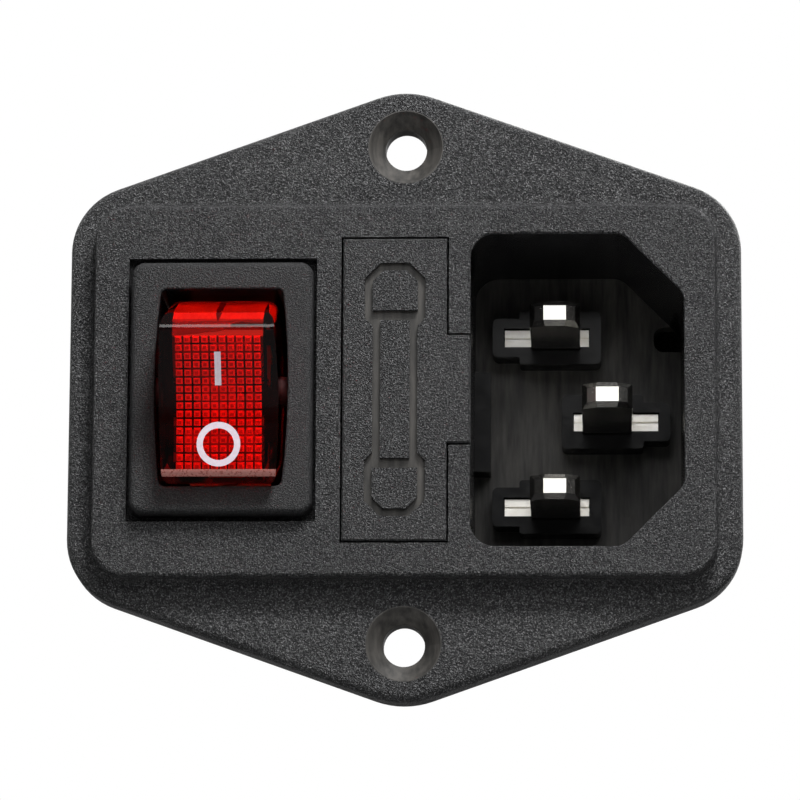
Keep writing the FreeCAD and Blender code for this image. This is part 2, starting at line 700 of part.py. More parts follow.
def make_housing():
    body = new_body("housing")
    front_pad(body, "flange", [flange_outline()], FLANGE_FACE, as_size(0))
    plateau = rectangle(
        -PLATEAU_RIGHT, PLATEAU_RIGHT, -PLATEAU_TOP, PLATEAU_TOP,
        S["plateau_corner_radius"],
    )
    front_pad(body, "plateau", [plateau], FACE, as_size(0))
    soft = S["shroud_corner_radius"]
    skirt = rectangle(-SHROUD_RIGHT, SHROUD_RIGHT, -SHROUD_TOP, SHROUD_TOP, soft)
    front_pad(body, "skirt", [skirt], as_size(0), S["skirt_depth"])
    block = rectangle(BLOCK_LEFT, SHROUD_RIGHT, -SHROUD_TOP, SHROUD_TOP, soft)
    front_pad(body, "block", [block], as_size(0), S["block_depth"])
    front_cut(body, "inlet_cavity", [inlet_outline()], FACE, CAVITY_FLOOR)
    dress(
        body, "Fillet", "cavity_rim", S["rim_round"],
        lambda box: lies_at(box.YMin, box.YMax, FACE) and not on_plateau_rim(box),
    )
    cut_switch_opening(body)
    cut_fuse_chamber(body)
    cut_inlet(body)
    cut_screw_holes(body)
    dress(
        body, "Fillet", "flange_edge", S["flange_edge_round"],
        lambda box: lies_at(box.YMin, box.YMax, FLANGE_FACE)
        and max(abs(box.ZMin), abs(box.ZMax)) + abs(box.XMax + box.XMin) / 2
        > PLATEAU_TOP.value + 0.01
        and not is_round_edge(box, S["countersink_width"]),
    )
    dress(
        body, "Fillet", "plateau_edge", S["plateau_edge_round"],
        lambda box: lies_at(box.YMin, box.YMax, FACE) and on_plateau_rim(box),
    )
    return body


def is_round_edge(box, width):
    return abs(box.XLength - width.value) < 0.01 and abs(box.ZLength - width.value) < 0.01


def on_plateau_rim(box):
    """True for the edges on the raised face's outer rim."""
    half = PLATEAU_RIGHT.value
    top = PLATEAU_TOP.value
    reach_x = max(abs(box.XMin), abs(box.XMax))
    reach_z = max(abs(box.ZMin), abs(box.ZMax))
    return reach_x > half - 1e-4 or reach_z > top - 1e-4


def cut_switch_opening(body):
    """The well that the bezel sits in, the web's window, and the hollow skirt behind."""
    middle = SWITCH_X
    top = BAY_TOP
    hollow = rectangle(-SHROUD_RIGHT + S["shroud_wall"], BLOCK_LEFT, -top, top)
    front_cut(body, "skirt_hollow", [hollow], WEB_REAR, S["skirt_depth"])
    half = S["bezel_width"] / 2 + S["bezel_fit"]
    top = S["bezel_height"] / 2 + S["bezel_fit"]
    front_cut(
        body, "bezel_well", [rectangle(middle - half, middle + half, -top, top)],
        FACE, WELL_FLOOR,
    )
    half = S["body_width"] / 2 + S["body_fit"]
    top = S["body_height"] / 2 + S["body_fit"]
    front_cut(
        body, "web_window", [rectangle(middle - half, middle + half, -top, top)],
        WELL_FLOOR, WEB_REAR,
    )


def cut_fuse_chamber(body):
    """The slot that the lid lies in, and the chamber that the tray slides in."""
    grown = lid_outline(S["lid_fit"], INLET_LEFT - DRAWER_X + S["lid_fit"])
    middle = DRAWER_X
    slot = [(middle + corner[0], corner[1]) for corner in grown]
    front_cut(body, "lid_slot", [slot], FACE, SLOT_FLOOR)
    top = CHAMBER_HEIGHT / 2
    chamber = rectangle(CHAMBER_LEFT, CHAMBER_RIGHT, -top, top)
    front_cut(body, "fuse_chamber", [chamber], SLOT_FLOOR, S["block_depth"])


def cut_inlet(body):
    """The cavity's bosses, rib and core hole, the bay behind it and the blades' slots."""
    bay = rectangle(BAY_LEFT, SHROUD_RIGHT - S["shroud_wall"], -BAY_TOP, BAY_TOP)
    front_cut(body, "rear_bay", [bay], BAY_FRONT, S["block_depth"])
    rib_half = S["ledge_length"] / 2
    rib = rectangle(INLET_LEFT, INLET_LEFT + S["ledge_width"], -rib_half, rib_half)
    front_pad(body, "floor_rib", [rib], CAVITY_FLOOR - S["ledge_height"], CAVITY_FLOOR)
    fit = S["blade_fit"]
    for name, x, z, mirrored, _ in BLADES:
        front_pad(
            body, f"{name}_boss", [boss_outline(x, z, mirrored)], BOSS_FACE, CAVITY_FLOOR
        )
        left, right = blade_span(mirrored)
        half = S["blade_thick"] / 2 + fit
        slot = rectangle(x - left - fit, x + right + fit, z - half, z + half)
        front_cut(body, f"{name}_slot", [slot], BOSS_FACE, BAY_FRONT)
        seat_half = S["pin_thick"] / 2 + fit
        seat = rectangle(
            x - PIN_HALF - fit, x + PIN_HALF + fit, z - seat_half, z + seat_half
        )
        front_cut(body, f"{name}_pin_seat", [seat], BOSS_FACE, SHOULDER_FACE)
    low = INLET_RIGHT - S["notch_width"]
    half = S["notch_height"] / 2
    rise = S["notch_rise"]
    soft = S["notch_height"] * 0.4
    notch = [
        (low, rise - half, soft),
        (INLET_RIGHT, rise - half),
        (INLET_RIGHT, rise + half),
        (low, rise + half, soft),
    ]
    front_cut(body, "core_hole", [notch], CAVITY_FLOOR, BAY_FRONT)
    low, high = link_levels()
    room = S["link_room"]
    passage = rectangle(
        CHAMBER_RIGHT - S["tray_fit"], BAY_LEFT + S["tray_fit"], low - room, high + room
    )
    front_cut(body, "link_passage", [passage], BAY_FRONT, S["block_depth"])


def link_levels():
    """The lower and upper face of the strip that lies on the line blade's plate."""
    low = PIN_Z + S["blade_thick"] / 2
    return low, low + S["link_thick"]


def cut_screw_holes(body):
    """Two through holes, each with a ninety-degree countersink on the flange's face."""
    sketch = new_sketch(body, "screw_holes_sketch", "XZ_Plane", -FLANGE_FACE)
    for side in (1, -1):
        draw_circle(sketch, 0, side * SCREW_Z, S["screw_hole_width"] / 2)
    feature(body, "Pocket", "screw_holes", sketch, S["flange_thick"])
    dress(
        body, "Chamfer", "countersinks",
        (S["countersink_width"] - S["screw_hole_width"]) / 2,
        lambda box: lies_at(box.YMin, box.YMax, FLANGE_FACE)
        and is_round_edge(box, S["screw_hole_width"]),
    )


# The rear cover closes the block and lets the inlet's tabs and the fused tab out.

def make_rear_cover():
    body = new_body("rear_cover")
    soft = S["shroud_corner_radius"]
    plate = rectangle(BLOCK_LEFT, SHROUD_RIGHT, -SHROUD_TOP, SHROUD_TOP, soft)
    front_pad(body, "plate", [plate], S["block_depth"], COVER_REAR)
    fit = S["cover_fit"]
    right = SHROUD_RIGHT - S["shroud_wall"] - fit
    top = BAY_TOP - fit
    lip_front = S["block_depth"] - S["cover_lip"]
    wall = S["shroud_wall"] / 2
    outer = rectangle(BAY_LEFT + fit, right, -top, top)
    inner = rectangle(BAY_LEFT + fit + wall, right - wall, -top + wall, top - wall)
    front_pad(body, "lip", [outer, inner], lip_front, S["block_depth"])
    low, high = link_levels()
    room = S["link_room"]
    gap = rectangle(BAY_LEFT, BAY_LEFT + wall * 2, low - room, high + room)
    front_cut(body, "lip_gap", [gap], lip_front, S["block_depth"])
    half = S["tab_width"] / 2 + S["blade_fit"]
    thin = S["tab_thick"] / 2 + S["blade_fit"]
    for name, x, z in tab_places():
        slot = rectangle(x - half, x + half, z - thin, z + thin)
        front_cut(body, f"{name}_slit", [slot], S["block_depth"], COVER_REAR)
    return body


def plate_middle(x, mirrored):
    """The middle of a blade's plate, where its tab comes off."""
    left, right = blade_span(mirrored)
    return x + (right - left) / 2


def contact_level():
    """The middle of a fuse contact's flat stretch, above the axis."""
    return CHAMBER_HEIGHT / 2 - S["contact_stand"] - S["contact_thick"] / 2


def tab_places():
    """Where the rear cover is slit: two blades' tabs and the fused tab."""
    places = [
        (name, plate_middle(x, mirrored), z)
        for name, x, z, mirrored, _ in BLADES
        if name != "line"
    ]
    places.append(("fused", DRAWER_X, -contact_level()))
    return places


# Each blade is folded from brass strip: a pin, a plate with two shoulders, and a solder tab.

def make_blade(name, x, z, mirrored, recess):
    body = new_body(f"{name}_blade")
    zero = as_size(0)
    left, right = blade_span(mirrored)
    tip = FACE + S[recess]
    flat = S["tip_flat"] / 2
    knee = S["tip_knee_width"] / 2
    pin = [
        (-flat, tip),
        (flat, tip),
        (knee, tip + S["tip_knee"]),
        (PIN_HALF, tip + S["tip_length"]),
        (PIN_HALF, SHOULDER_FACE),
        (-PIN_HALF, SHOULDER_FACE),
        (-PIN_HALF, tip + S["tip_length"]),
        (-knee, tip + S["tip_knee"]),
    ]
    plan_pad(body, "pin", [pin], zero, S["pin_thick"])
    dress(
        body, "Chamfer", "tip_bevel", S["pin_tip_bevel"],
        lambda box: box.ZLength < 1e-6 and box.YMax < (tip + S["tip_knee"]).value + 1e-4,
    )
    dress(
        body, "Fillet", "pin_edges", S["pin_edge"],
        lambda box: box.ZLength < 1e-6 and box.XLength < 1e-6
        and box.YMax > SHOULDER_FACE.value - 1e-4,
    )
    tail = S["block_depth"] - S["cover_lip"]
    plate = rectangle(-left, right, SHOULDER_FACE, tail)
    plan_pad(body, "plate", [plate], zero, S["blade_thick"])
    seam = S["blade_seam"] / 2
    inset = 0.02
    seams = [
        rectangle(-left, -PIN_HALF - inset, -seam, seam),
        rectangle(PIN_HALF + inset, right, -seam, seam),
    ]
    front_cut(
        body, "fold_line", seams, SHOULDER_FACE, SHOULDER_FACE + S["blade_seam_depth"]
    )
    if name != "line":
        slit_tab(body, "tab", (right - left) / 2, tail, TAB_END, zero)
    place(body, x, 0, z)
    return body


# The fuse contacts are spring strips at the two ends of the working fuse.

def contact_outline():
    """A strip with a bump that meets the fuse's cap, drawn as (y, z) for the upper contact."""
    thick = S["contact_thick"] / 2
    flat = contact_level()
    bump = S["fuse_length"] / 2 + S["contact_gap"] + thick
    middle = S["live_fuse_y"]
    rise = S["contact_rise"]
    nose = middle - S["contact_nose"]
    tail = S["block_depth"] - S["cover_lip"]
    end = (flat + bump) / 2
    return [
        (tail, flat - thick),
        (middle + rise, flat - thick, S["contact_thick"] * 3),
        (middle, bump - thick, S["contact_thick"] * 2),
        (nose, end - thick),
        (nose, end + thick),
        (middle, bump + thick, S["contact_thick"]),
        (middle + rise, flat + thick, S["contact_thick"] * 2),
        (tail, flat + thick),
    ]


def make_upper_contact():
    body = new_body("upper_fuse_contact")
    side_pad(body, "strip", [contact_outline()], 0, S["contact_width"])
    place(body, DRAWER_X)
    return body


def make_lower_contact():
    body = new_body("lower_fuse_contact")
    lower = [
        (corner[0], -corner[1]) + tuple(corner[2:]) for corner in contact_outline()
    ]
    side_pad(body, "strip", [lower], 0, S["contact_width"])
    tail = S["block_depth"] - S["cover_lip"]
    slit_tab(
        body, "tab", as_size(0), tail - S["tab_thick"], TAB_END, -contact_level()
    )
    place(body, DRAWER_X)
    return body


def make_line_link():
    """A strip from the line blade's plate to the upper fuse contact, inside the block."""
    body = new_body("line_link")
    thick = S["link_thick"]
    low, _ = link_levels()
    high = contact_level() - S["contact_thick"] / 2
    right = OUTER_PIN_X + PIN_HALF
    left = DRAWER_X + S["contact_width"] / 2 - thick * 2
    outline = [
        (right, low),
        (right, low + thick),
        (left + thick, low + thick),
        (left + thick, high),
        (left, high),
        (left, low),
    ]
    y_rear = S["block_depth"] - S["cover_lip"] - S["link_set_in"]
    front_pad(body, "strip", [outline], y_rear - S["link_width"], y_rear)
    return body


# The fuse drawer slides out to the front: a lid with a sunk fuse sign, and a tray for two fuses.

def head_outline(inset, top):
    """One head of the fuse sign, drawn upwards from its edge; inset gives the window inside."""
    half = S["sign_head_width"] / 2 - inset
    high = S["sign_height"] / 2 - inset
    low = S["sign_height"] / 2 - S["sign_head_height"] + inset
    cut = S["sign_corner"] - inset * 0.6
    points = [
        (-half, low),
        (half, low),
        (half, high - cut),
        (half - cut, high),
        (-half + cut, high),
        (-half, high - cut),
    ]
    middle = S["sign_centre_x"]
    return [(middle + x, top * z) for x, z in points]


def sign_outline():
    """The outer edge of the fuse sign: two heads joined by a narrower stem."""
    middle = S["sign_centre_x"]
    head = S["sign_head_width"] / 2
    neck = S["sign_neck_width"] / 2
    high = S["sign_height"] / 2
    low = high - S["sign_head_height"]
    cut = S["sign_corner"]
    shoulder = S["sign_shoulder"]
    quarter = [
        (neck, low - shoulder),
        (head, low),
        (head, high - cut),
        (head - cut, high),
    ]
    right_top = [(middle + x, z) for x, z in quarter]
    left_top = [(middle - x, z) for x, z in reversed(quarter)]
    left_low = [(middle - x, -z) for x, z in quarter]
    right_low = [(middle + x, -z) for x, z in reversed(quarter)]
    return right_top + left_top + left_low + right_low


def make_drawer():
    body = new_body("fuse_drawer")
    finger_end = INLET_LEFT - DRAWER_X - S["lid_seat"]
    front_pad(body, "lid", [lid_outline(as_size(0), finger_end)], LID_FRONT, LID_REAR)
    dress(
        body, "Chamfer", "lid_edges", S["lid_edge"],
        lambda box: lies_at(box.YMin, box.YMax, LID_FRONT),
    )
    half = S["tray_width"] / 2
    top = TRAY_HEIGHT / 2
    fuse_room = S["fuse_cap_width"] / 2 + S["fuse_fit"]
    tray_rear = S["live_fuse_y"] + S["cradle_lip"]
    tray = rectangle(-half, half, -top, top)
    front_pad(body, "tray", [tray], LID_REAR, tray_rear)
    cut_tray(body, half, top, fuse_room, tray_rear)
    middle = S["sign_centre_x"]
    band = S["sign_band"]
    stem = S["sign_neck_width"] / 2 - band
    stem_top = S["sign_height"] / 2 - S["sign_head_height"] - band * 0.3
    windows = [
        head_outline(band, 1),
        head_outline(band, -1),
        rectangle(middle - stem, middle + stem, -stem_top, stem_top),
    ]
    front_cut(
        body, "fuse_sign", [sign_outline()] + windows, LID_FRONT,
        LID_FRONT + S["sign_depth"],
    )
    place(body, DRAWER_X)
    return body


def cut_tray(body, half, top, fuse_room, tray_rear):
    """A pocket for the spare fuse, open to one side, and a cradle at the rear for the other."""
    length = S["fuse_length"] / 2 + S["fuse_fit"]
    spare = S["spare_fuse_y"]
    pocket = rectangle(spare - fuse_room, spare + fuse_room, -length, length)
    sketch = new_sketch(body, "spare_pocket_sketch", "YZ_Plane", -half)
    draw_outline(sketch, pocket)
    feature(body, "Pocket", "spare_pocket", sketch, half + fuse_room, flipped=True)
    live = S["live_fuse_y"]
    cradle = new_sketch(body, "cradle_sketch", "XY_Plane", 0)
    draw_circle(cradle, 0, live, fuse_room)
    feature(body, "Pocket", "cradle", cradle, length * 2, middle=True)
    mouth = fuse_room * 0.94  # narrower than the fuse, which snaps in
    plan_cut(
        body, "cradle_mouth", [rectangle(-mouth, mouth, live, tray_rear)],
        0, length * 2,
    )
    slot = S["contact_width"] / 2 + S["contact_room"]
    front = live - S["contact_nose"] - S["contact_nose_room"]
    plan_cut(
        body, "contact_slots", [rectangle(-slot, slot, front, tray_rear)], 0, top * 2
    )


# A cartridge fuse: a glass tube, two caps pressed on its ends and a thin wire between them.

def make_fuse(prefix, y_axis):
    x_axis = DRAWER_X
    half = S["fuse_length"] / 2
    cap = S["fuse_cap_width"] / 2
    wall = S["fuse_cap_wall"]
    made = []
    glass = doc.addObject("Part::Cylinder", f"{prefix}_glass_outside")
    bore = doc.addObject("Part::Cylinder", f"{prefix}_glass_bore")
    glass.setExpression("Radius", (cap - wall).text)
    bore.setExpression("Radius", (cap - wall - S["fuse_glass_wall"]).text)
    for item in (glass, bore):
        item.setExpression("Height", ((half - wall) * 2).text)
        place(item, x_axis, y_axis, wall - half)
    tube = doc.addObject("Part::Cut", f"{prefix}_glass")
    tube.Base = glass
    tube.Tool = bore
    made.append(tube)
    for end, side in (("upper", 1), ("lower", -1)):
        shell = doc.addObject("Part::Cylinder", f"{prefix}_{end}_cap_outside")
        hollow = doc.addObject("Part::Cylinder", f"{prefix}_{end}_cap_hollow")
        shell.setExpression("Radius", cap.text)
        hollow.setExpression("Radius", (cap - wall).text)
        shell.setExpression("Height", S["fuse_cap_length"].text)
        hollow.setExpression("Height", (S["fuse_cap_length"] - wall).text)
        if side > 0:
            place(shell, x_axis, y_axis, half - S["fuse_cap_length"])
            place(hollow, x_axis, y_axis, half - S["fuse_cap_length"])
        else:
            place(shell, x_axis, y_axis, -half)
            place(hollow, x_axis, y_axis, wall - half)
        cup = doc.addObject("Part::Cut", f"{prefix}_{end}_cap")
        cup.Base = shell
        cup.Tool = hollow
        made.append(cup)
    wire = doc.addObject("Part::Cylinder", f"{prefix}_wire")
    wire.setExpression("Radius", (S["fuse_wire_width"] / 2).text)
    wire.setExpression("Height", ((half - wall) * 2).text)
    place(wire, x_axis, y_axis, wall - half)
    made.append(wire)
    return made


# The switch frame is one moulding: bezel, body, snap tongues and pivot sockets.

def bowed_outline(end_width, mid_width, height, corner):
    """A rectangle whose two long sides bow outwards, as (x, z) corners of a fine polygon.
    Its four corners have a radius."""
    steps = 3
    bow = (mid_width - end_width) / 2
    right = []
    for index in range(-steps, steps + 1):
        share = index / steps
        point = (end_width / 2 + bow * (1 - share * share), height / 2 * share)
        right.append(point + (corner,) if abs(index) == steps else point)
    left = [(-point[0],) + point[1:] for point in reversed(right)]
    return right + left


def make_switch_frame():
    body = new_body("switch_frame")
    half = S["bezel_width"] / 2
    top = S["bezel_height"] / 2
    bezel = rectangle(-half, half, -top, top, S["bezel_corner_radius"])
    front_pad(body, "bezel", [bezel], BEZEL_FACE, WELL_FLOOR)
    half = S["body_width"] / 2
    top = S["body_height"] / 2
    front_pad(body, "case", [rectangle(-half, half, -top, top)], WELL_FLOOR, BODY_REAR)
    rear = WEB_REAR + S["latch_play"]
    latch = S["latch_height"]
    root = top - S["latch_root"]
    for side in (1, -1):
        tongue = [
            (rear, side * root),
            (rear, side * (top + latch)),
            (rear + S["latch_land"], side * (top + latch)),
            (rear + S["latch_length"], side * root),
        ]
        side_pad(body, "upper_latch" if side > 0 else "lower_latch",
                 [tongue], 0, S["latch_width"])
    window = bowed_outline(
        S["window_end_width"], S["window_mid_width"], S["window_height"],
        S["window_corner_radius"],
    )
    front_cut(body, "window", [window], BEZEL_FACE, BODY_FLOOR)
    dress(
        body, "Fillet", "window_rim", S["rim_round"] * 0.8,
        lambda box: lies_at(box.YMin, box.YMax, BEZEL_FACE)
        and max(abs(box.XMin), abs(box.XMax)) < S["window_mid_width"].value / 2 + 0.1
        and max(abs(box.ZMin), abs(box.ZMax)) < S["window_height"].value / 2 + 0.1,
    )
    sockets = new_sketch(body, "pivot_sockets_sketch", "YZ_Plane", 0)
    draw_circle(
        sockets, PIVOT_Y, 0, S["trunnion_width"] / 2 + S["trunnion_fit"]
    )
    reach = S["rocker_mid_width"] / 2 + S["trunnion_reach"] + 0.1
    feature(body, "Pocket", "pivot_sockets", sockets, reach * 2, middle=True)
    wide = S["tab_width"] / 2 + S["blade_fit"]
    thin = S["tab_thick"] / 2 + S["blade_fit"]
    for index, level in enumerate((-1, 0, 1)):
        z = level * S["terminal_pitch"]
        slit = rectangle(-wide, wide, z - thin, z + thin)
        front_cut(body, f"terminal_slit_{index}", [slit], BODY_FLOOR, BODY_REAR)
    dress(
        body, "Fillet", "bezel_edge", S["bezel_edge_round"],
        lambda box: lies_at(box.YMin, box.YMax, BEZEL_FACE)
        and max(
            abs(box.XMin) - S["window_mid_width"].value / 2,
            abs(box.XMax) - S["window_mid_width"].value / 2,
            abs(box.ZMin) - S["window_height"].value / 2,
            abs(box.ZMax) - S["window_height"].value / 2,
        ) > 0.5,
    )
    place(body, SWITCH_X)
    return body


# The rocker is a clear red shell, dished from ridge to ridge, on two pivots, with a plunger guide.

def rocker_outline(inset):
    """The side view of the rocker as (y, z), about the pivot; inset gives its hollow."""
    ridge_z = S["rocker_half_length"] - inset * 0.8
    ridge = S["rocker_ridge_height"] - inset * 1.1
    valley = ridge - ridge_z * tan_of(S["rocker_dish_angle"])
    brow_z = S["rocker_brow_half"] - inset
    brow = S["rocker_brow_height"] - inset * 0.55
    skirt_z = S["rocker_skirt_half"] - inset
    skirt = S["rocker_skirt_depth"] + inset
    dish = (PIVOT_Y - valley, as_size(0), S["rocker_dish_radius"])
    return [
        (PIVOT_Y + skirt, -skirt_z),
        (PIVOT_Y + skirt, skirt_z),
        (PIVOT_Y - brow, brow_z),
        (PIVOT_Y - ridge, ridge_z),
        dish,
        (PIVOT_Y - ridge, -ridge_z),
        (PIVOT_Y - brow, -brow_z),
    ]


def hollow_roof(z):
    """How far the hollow's roof is above the pivot, at a height z from the middle."""
    wall = S["rocker_wall"]
    ridge_z = S["rocker_half_length"] - wall * 0.8
    ridge = S["rocker_ridge_height"] - wall * 1.1
    return ridge - (ridge_z - z) * tan_of(S["rocker_dish_angle"])


def make_rocker():
    body = new_body("rocker")
    wide = S["rocker_mid_width"]
    side_pad(body, "block", [rocker_outline(as_size(0))], 0, wide)
    reach = S["rocker_skirt_half"] * 2
    outline = bowed_outline(
        S["rocker_end_width"], wide, reach, S["rocker_corner_radius"]
    )
    margin = wide
    frame = rectangle(-margin, margin, -reach / 2 - 2, reach / 2 + 2)
    y_front = PIVOT_Y - S["rocker_ridge_height"] - 1
    y_rear = PIVOT_Y + S["rocker_skirt_depth"] + 1
    front_cut(body, "bowed_sides", [frame, outline], y_front, y_rear)
    wall = S["rocker_wall"]
    side_cut(body, "hollow", [rocker_outline(wall)], 0, S["rocker_hollow_width"])
    trunnion = new_sketch(body, "trunnions_sketch", "YZ_Plane", 0)
    draw_circle(trunnion, PIVOT_Y, 0, S["trunnion_width"] / 2)
    feature(
        body, "Pad", "trunnions", trunnion, wide + S["trunnion_reach"] * 2, middle=True
    )
    side_cut(
        body, "hollow_again",
        [rectangle(PIVOT_Y - 1.5, PIVOT_Y + 1.5, as_size(-1.5), as_size(1.5))],
        0, S["rocker_hollow_width"],
    )
    guide = new_sketch(body, "guide_sketch", "XZ_Plane", -(PIVOT_Y + S["guide_depth"]))
    draw_circle(guide, 0, 0, S["guide_width"] / 2)
    roof = hollow_roof(as_size(0)) + 0.5
    feature(body, "Pad", "guide", guide, S["guide_depth"] + roof)
    bore = new_sketch(
        body, "guide_bore_sketch", "XZ_Plane", -(PIVOT_Y + S["guide_depth"])
    )
    draw_circle(bore, 0, 0, S["plunger_width"] / 2 + S["plunger_fit"])
    feature(
        body, "Pocket", "guide_bore", bore,
        S["guide_depth"] + hollow_roof(as_size(0)) - 0.4, flipped=True,
    )
    ridge = S["rocker_ridge_height"]
    dress(
        body, "Fillet", "ridge_rounds", S["rocker_ridge_round"],
        lambda box: abs(box.YMin - (PIVOT_Y - ridge).value) < 1e-3
        and box.XLength > 5 and box.ZLength < 1e-3,
    )
    on_rocker(body)
    return body


def on_rocker(item):
    """Puts a piece that was drawn for the middle position where the rocker rests, at off."""
    tilt_about(item, SWITCH_X, PIVOT_Y, S["rocker_tilt"])


def make_plunger():
    body = new_body("plunger")
    radius = S["plunger_width"] / 2
    ball = PIVOT_Y + S["plunger_ball"]
    top = ball - S["plunger_length"]
    sketch = new_sketch(body, "plunger_sketch", "XY_Plane", 0)
    points = [Vector(0, top.value, 0), Vector(radius.value, top.value, 0)]
    line_top = sketch.addGeometry(Part.LineSegment(points[0], points[1]))
    side_low = Vector(radius.value, ball.value, 0)
    line_side = sketch.addGeometry(Part.LineSegment(points[1], side_low))
    tip = Vector(0, ball.value + radius.value, 0)
    corner = math.sqrt(0.5) * radius.value
    arc = sketch.addGeometry(
        Part.Arc(side_low, Vector(corner, ball.value + corner, 0), tip)
    )
    line_axis = sketch.addGeometry(Part.LineSegment(tip, points[0]))
    pin_point(sketch, line_top, 1, 0, top)
    pin_point(sketch, line_side, 1, radius, top)
    pin_point(sketch, arc, 3, 0, ball)
    joins = [(line_top, 2, line_side, 1), (line_axis, 2, line_top, 1)]
    for first, first_end, second, second_end in joins:
        sketch.addConstraint(
            Sketcher.Constraint("Coincident", first, first_end, second, second_end)
        )
    sketch.addConstraint(Sketcher.Constraint("Tangent", line_side, 2, arc, 1))
    sketch.addConstraint(Sketcher.Constraint("Coincident", arc, 2, line_axis, 1))
    sketch.addConstraint(Sketcher.Constraint("PointOnObject", line_axis, 1, -2))
    bind_radius(sketch, arc, radius)
    turn = body.newObject("PartDesign::Revolution", "turned_pin")
    turn.Profile = sketch
    turn.ReferenceAxis = (sketch, ["V_Axis"])
    turn.Angle = 360
    on_rocker(body)
    return body


def make_spring(name, coil_width, wire, pitch, y_low, y_high, x, z):
    """A coil of round wire along Y, between two depths, about the line at (x, z)."""
    helix = doc.addObject("Part::Helix", f"{name}_path")
    helix.setExpression("Radius", ((coil_width - wire) / 2).text)
    helix.setExpression("Pitch", as_size(pitch).text)
    height = y_high - y_low - wire
    helix.setExpression("Height", height.text)
    helix.Placement = Placement(Vector(0, 0, 0), Rotation(Vector(1, 0, 0), -90))
    place(helix, x, y_low + wire / 2, z)
    ring = doc.addObject("Part::Circle", f"{name}_wire")
    ring.setExpression("Radius", (wire / 2).text)
    ring.Placement = Placement(Vector(0, 0, 0), Rotation(Vector(0, 0, 1), 0))
    place(ring, x + (coil_width - wire) / 2, y_low + wire / 2, z)
    coil = doc.addObject("Part::Sweep", name)
    coil.Sections = [ring]
    coil.Spine = (helix, [])
    coil.Solid = True
    coil.Frenet = True
    return coil


def make_plunger_spring():
    top = PIVOT_Y - (hollow_roof(as_size(0)) - 0.4)
    low = PIVOT_Y + S["plunger_ball"] - S["plunger_length"]
    coil = make_spring(
        "plunger_spring", S["plunger_width"] - 0.1, S["spring_wire"], S["spring_pitch"],
        top + 0.02, low - 0.02, as_size(0), as_size(0),
    )
    on_rocker(coil)
    return coil


def lamp_level(width):
    """How far the axis of a round piece under the hollow's roof is above the pivot."""
    return hollow_roof(S["lamp_offset"] - width / 2) - S["lamp_seat"] - width / 2


def make_lying_cylinder(name, width, length, side):
    body = new_body(name)
    level = PIVOT_Y - lamp_level(width)
    sketch = new_sketch(body, f"{name}_sketch", "YZ_Plane", 0)
    draw_circle(sketch, level, side * S["lamp_offset"], width / 2)
    feature(body, "Pad", f"{name}_tube", sketch, length, middle=True)
    return body


def make_lamp():
    body = make_lying_cylinder("neon_lamp", S["lamp_width"], S["lamp_length"], 1)
    half = S["lamp_length"].value / 2
    dress(
        body, "Fillet", "round_ends", S["lamp_width"] * 0.4,
        lambda box: box.XLength < 1e-6 and abs(abs(box.XMin) - half) < 1e-4,
    )
    on_rocker(body)
    return body


def make_resistor():
    body = make_lying_cylinder(
        "lamp_resistor", S["resistor_width"], S["resistor_length"], -1
    )
    half = S["resistor_length"].value / 2
    dress(
        body, "Fillet", "round_ends", S["resistor_width"] * 0.2,
        lambda box: box.XLength < 1e-6 and abs(abs(box.XMin) - half) < 1e-4,
    )
    on_rocker(body)
    return body


def lead_foot():
    """Where both lead wires end, above the pivot: where the lamp springs meet them."""
    return as_size(-0.6)


def make_lead(name, width, side):
    """A wire that comes down from the lamp or resistor to the end of its lamp spring."""
    body = new_body(name)
    thick = S["lead_wire"]
    level = lamp_level(width) - width / 2
    z_in = side * S["lamp_offset"]
    z_out = side * S["lamp_spring_z"]
    foot = lead_foot()
    outline = [
        (PIVOT_Y - level, z_in - thick / 2),
        (PIVOT_Y - level, z_in + thick / 2),
        (PIVOT_Y - foot - thick, z_out + thick / 2),
        (PIVOT_Y - foot, z_out + thick / 2),
        (PIVOT_Y - foot, z_out - thick / 2),
    ]
    side_pad(body, "wire", [outline], S["lead_x"], thick)
    on_rocker(body)
    return body


def at_rest(v, u):
    """Row-frame (y, z) of a point v above the rocker's pivot and u from its middle, at off."""
    tilt = S["rocker_tilt"]
    y = PIVOT_Y - v * cos_of(tilt) - u * sin_of(tilt)
    z = u * cos_of(tilt) - v * sin_of(tilt)
    return y, z


# The switch's contacts: a saddle in the middle, a fixed contact below, a lamp feed above.

SEESAW_Y = PIVOT_Y + S["plunger_ball"] + S["seesaw_gap"] + S["seesaw_thick"] / 2
REST_SLOPE = S["seesaw_bend"] - S["seesaw_tilt"]


def make_common_terminal():
    body = new_body("common_terminal")
    zero = as_size(0)
    gap = S["saddle_gap"]
    wall = S["saddle_wall"]
    half = S["saddle_length"] / 2
    foot = BODY_FLOOR - wall
    width = gap * 2 + wall * 2
    side_pad(
        body, "uprights",
        [rectangle(SEESAW_Y - 0.3, BODY_FLOOR, -half, half)], 0, width,
    )
    side_cut(
        body, "saddle_gap", [rectangle(SEESAW_Y - 1, foot, -half - 1, half + 1)],
        0, gap * 2,
    )
    notch = new_sketch(body, "saddle_notch_sketch", "YZ_Plane", 0)
    draw_circle(notch, SEESAW_Y, 0, S["seesaw_pin"] / 2 + S["seesaw_fit"])
    feature(body, "Pocket", "saddle_notch", notch, width + 1, middle=True)
    slit_tab(body, "tab", zero, BODY_FLOOR - 0.3, BODY_REAR + S["tab_reach"], zero)
    place(body, SWITCH_X)
    return body


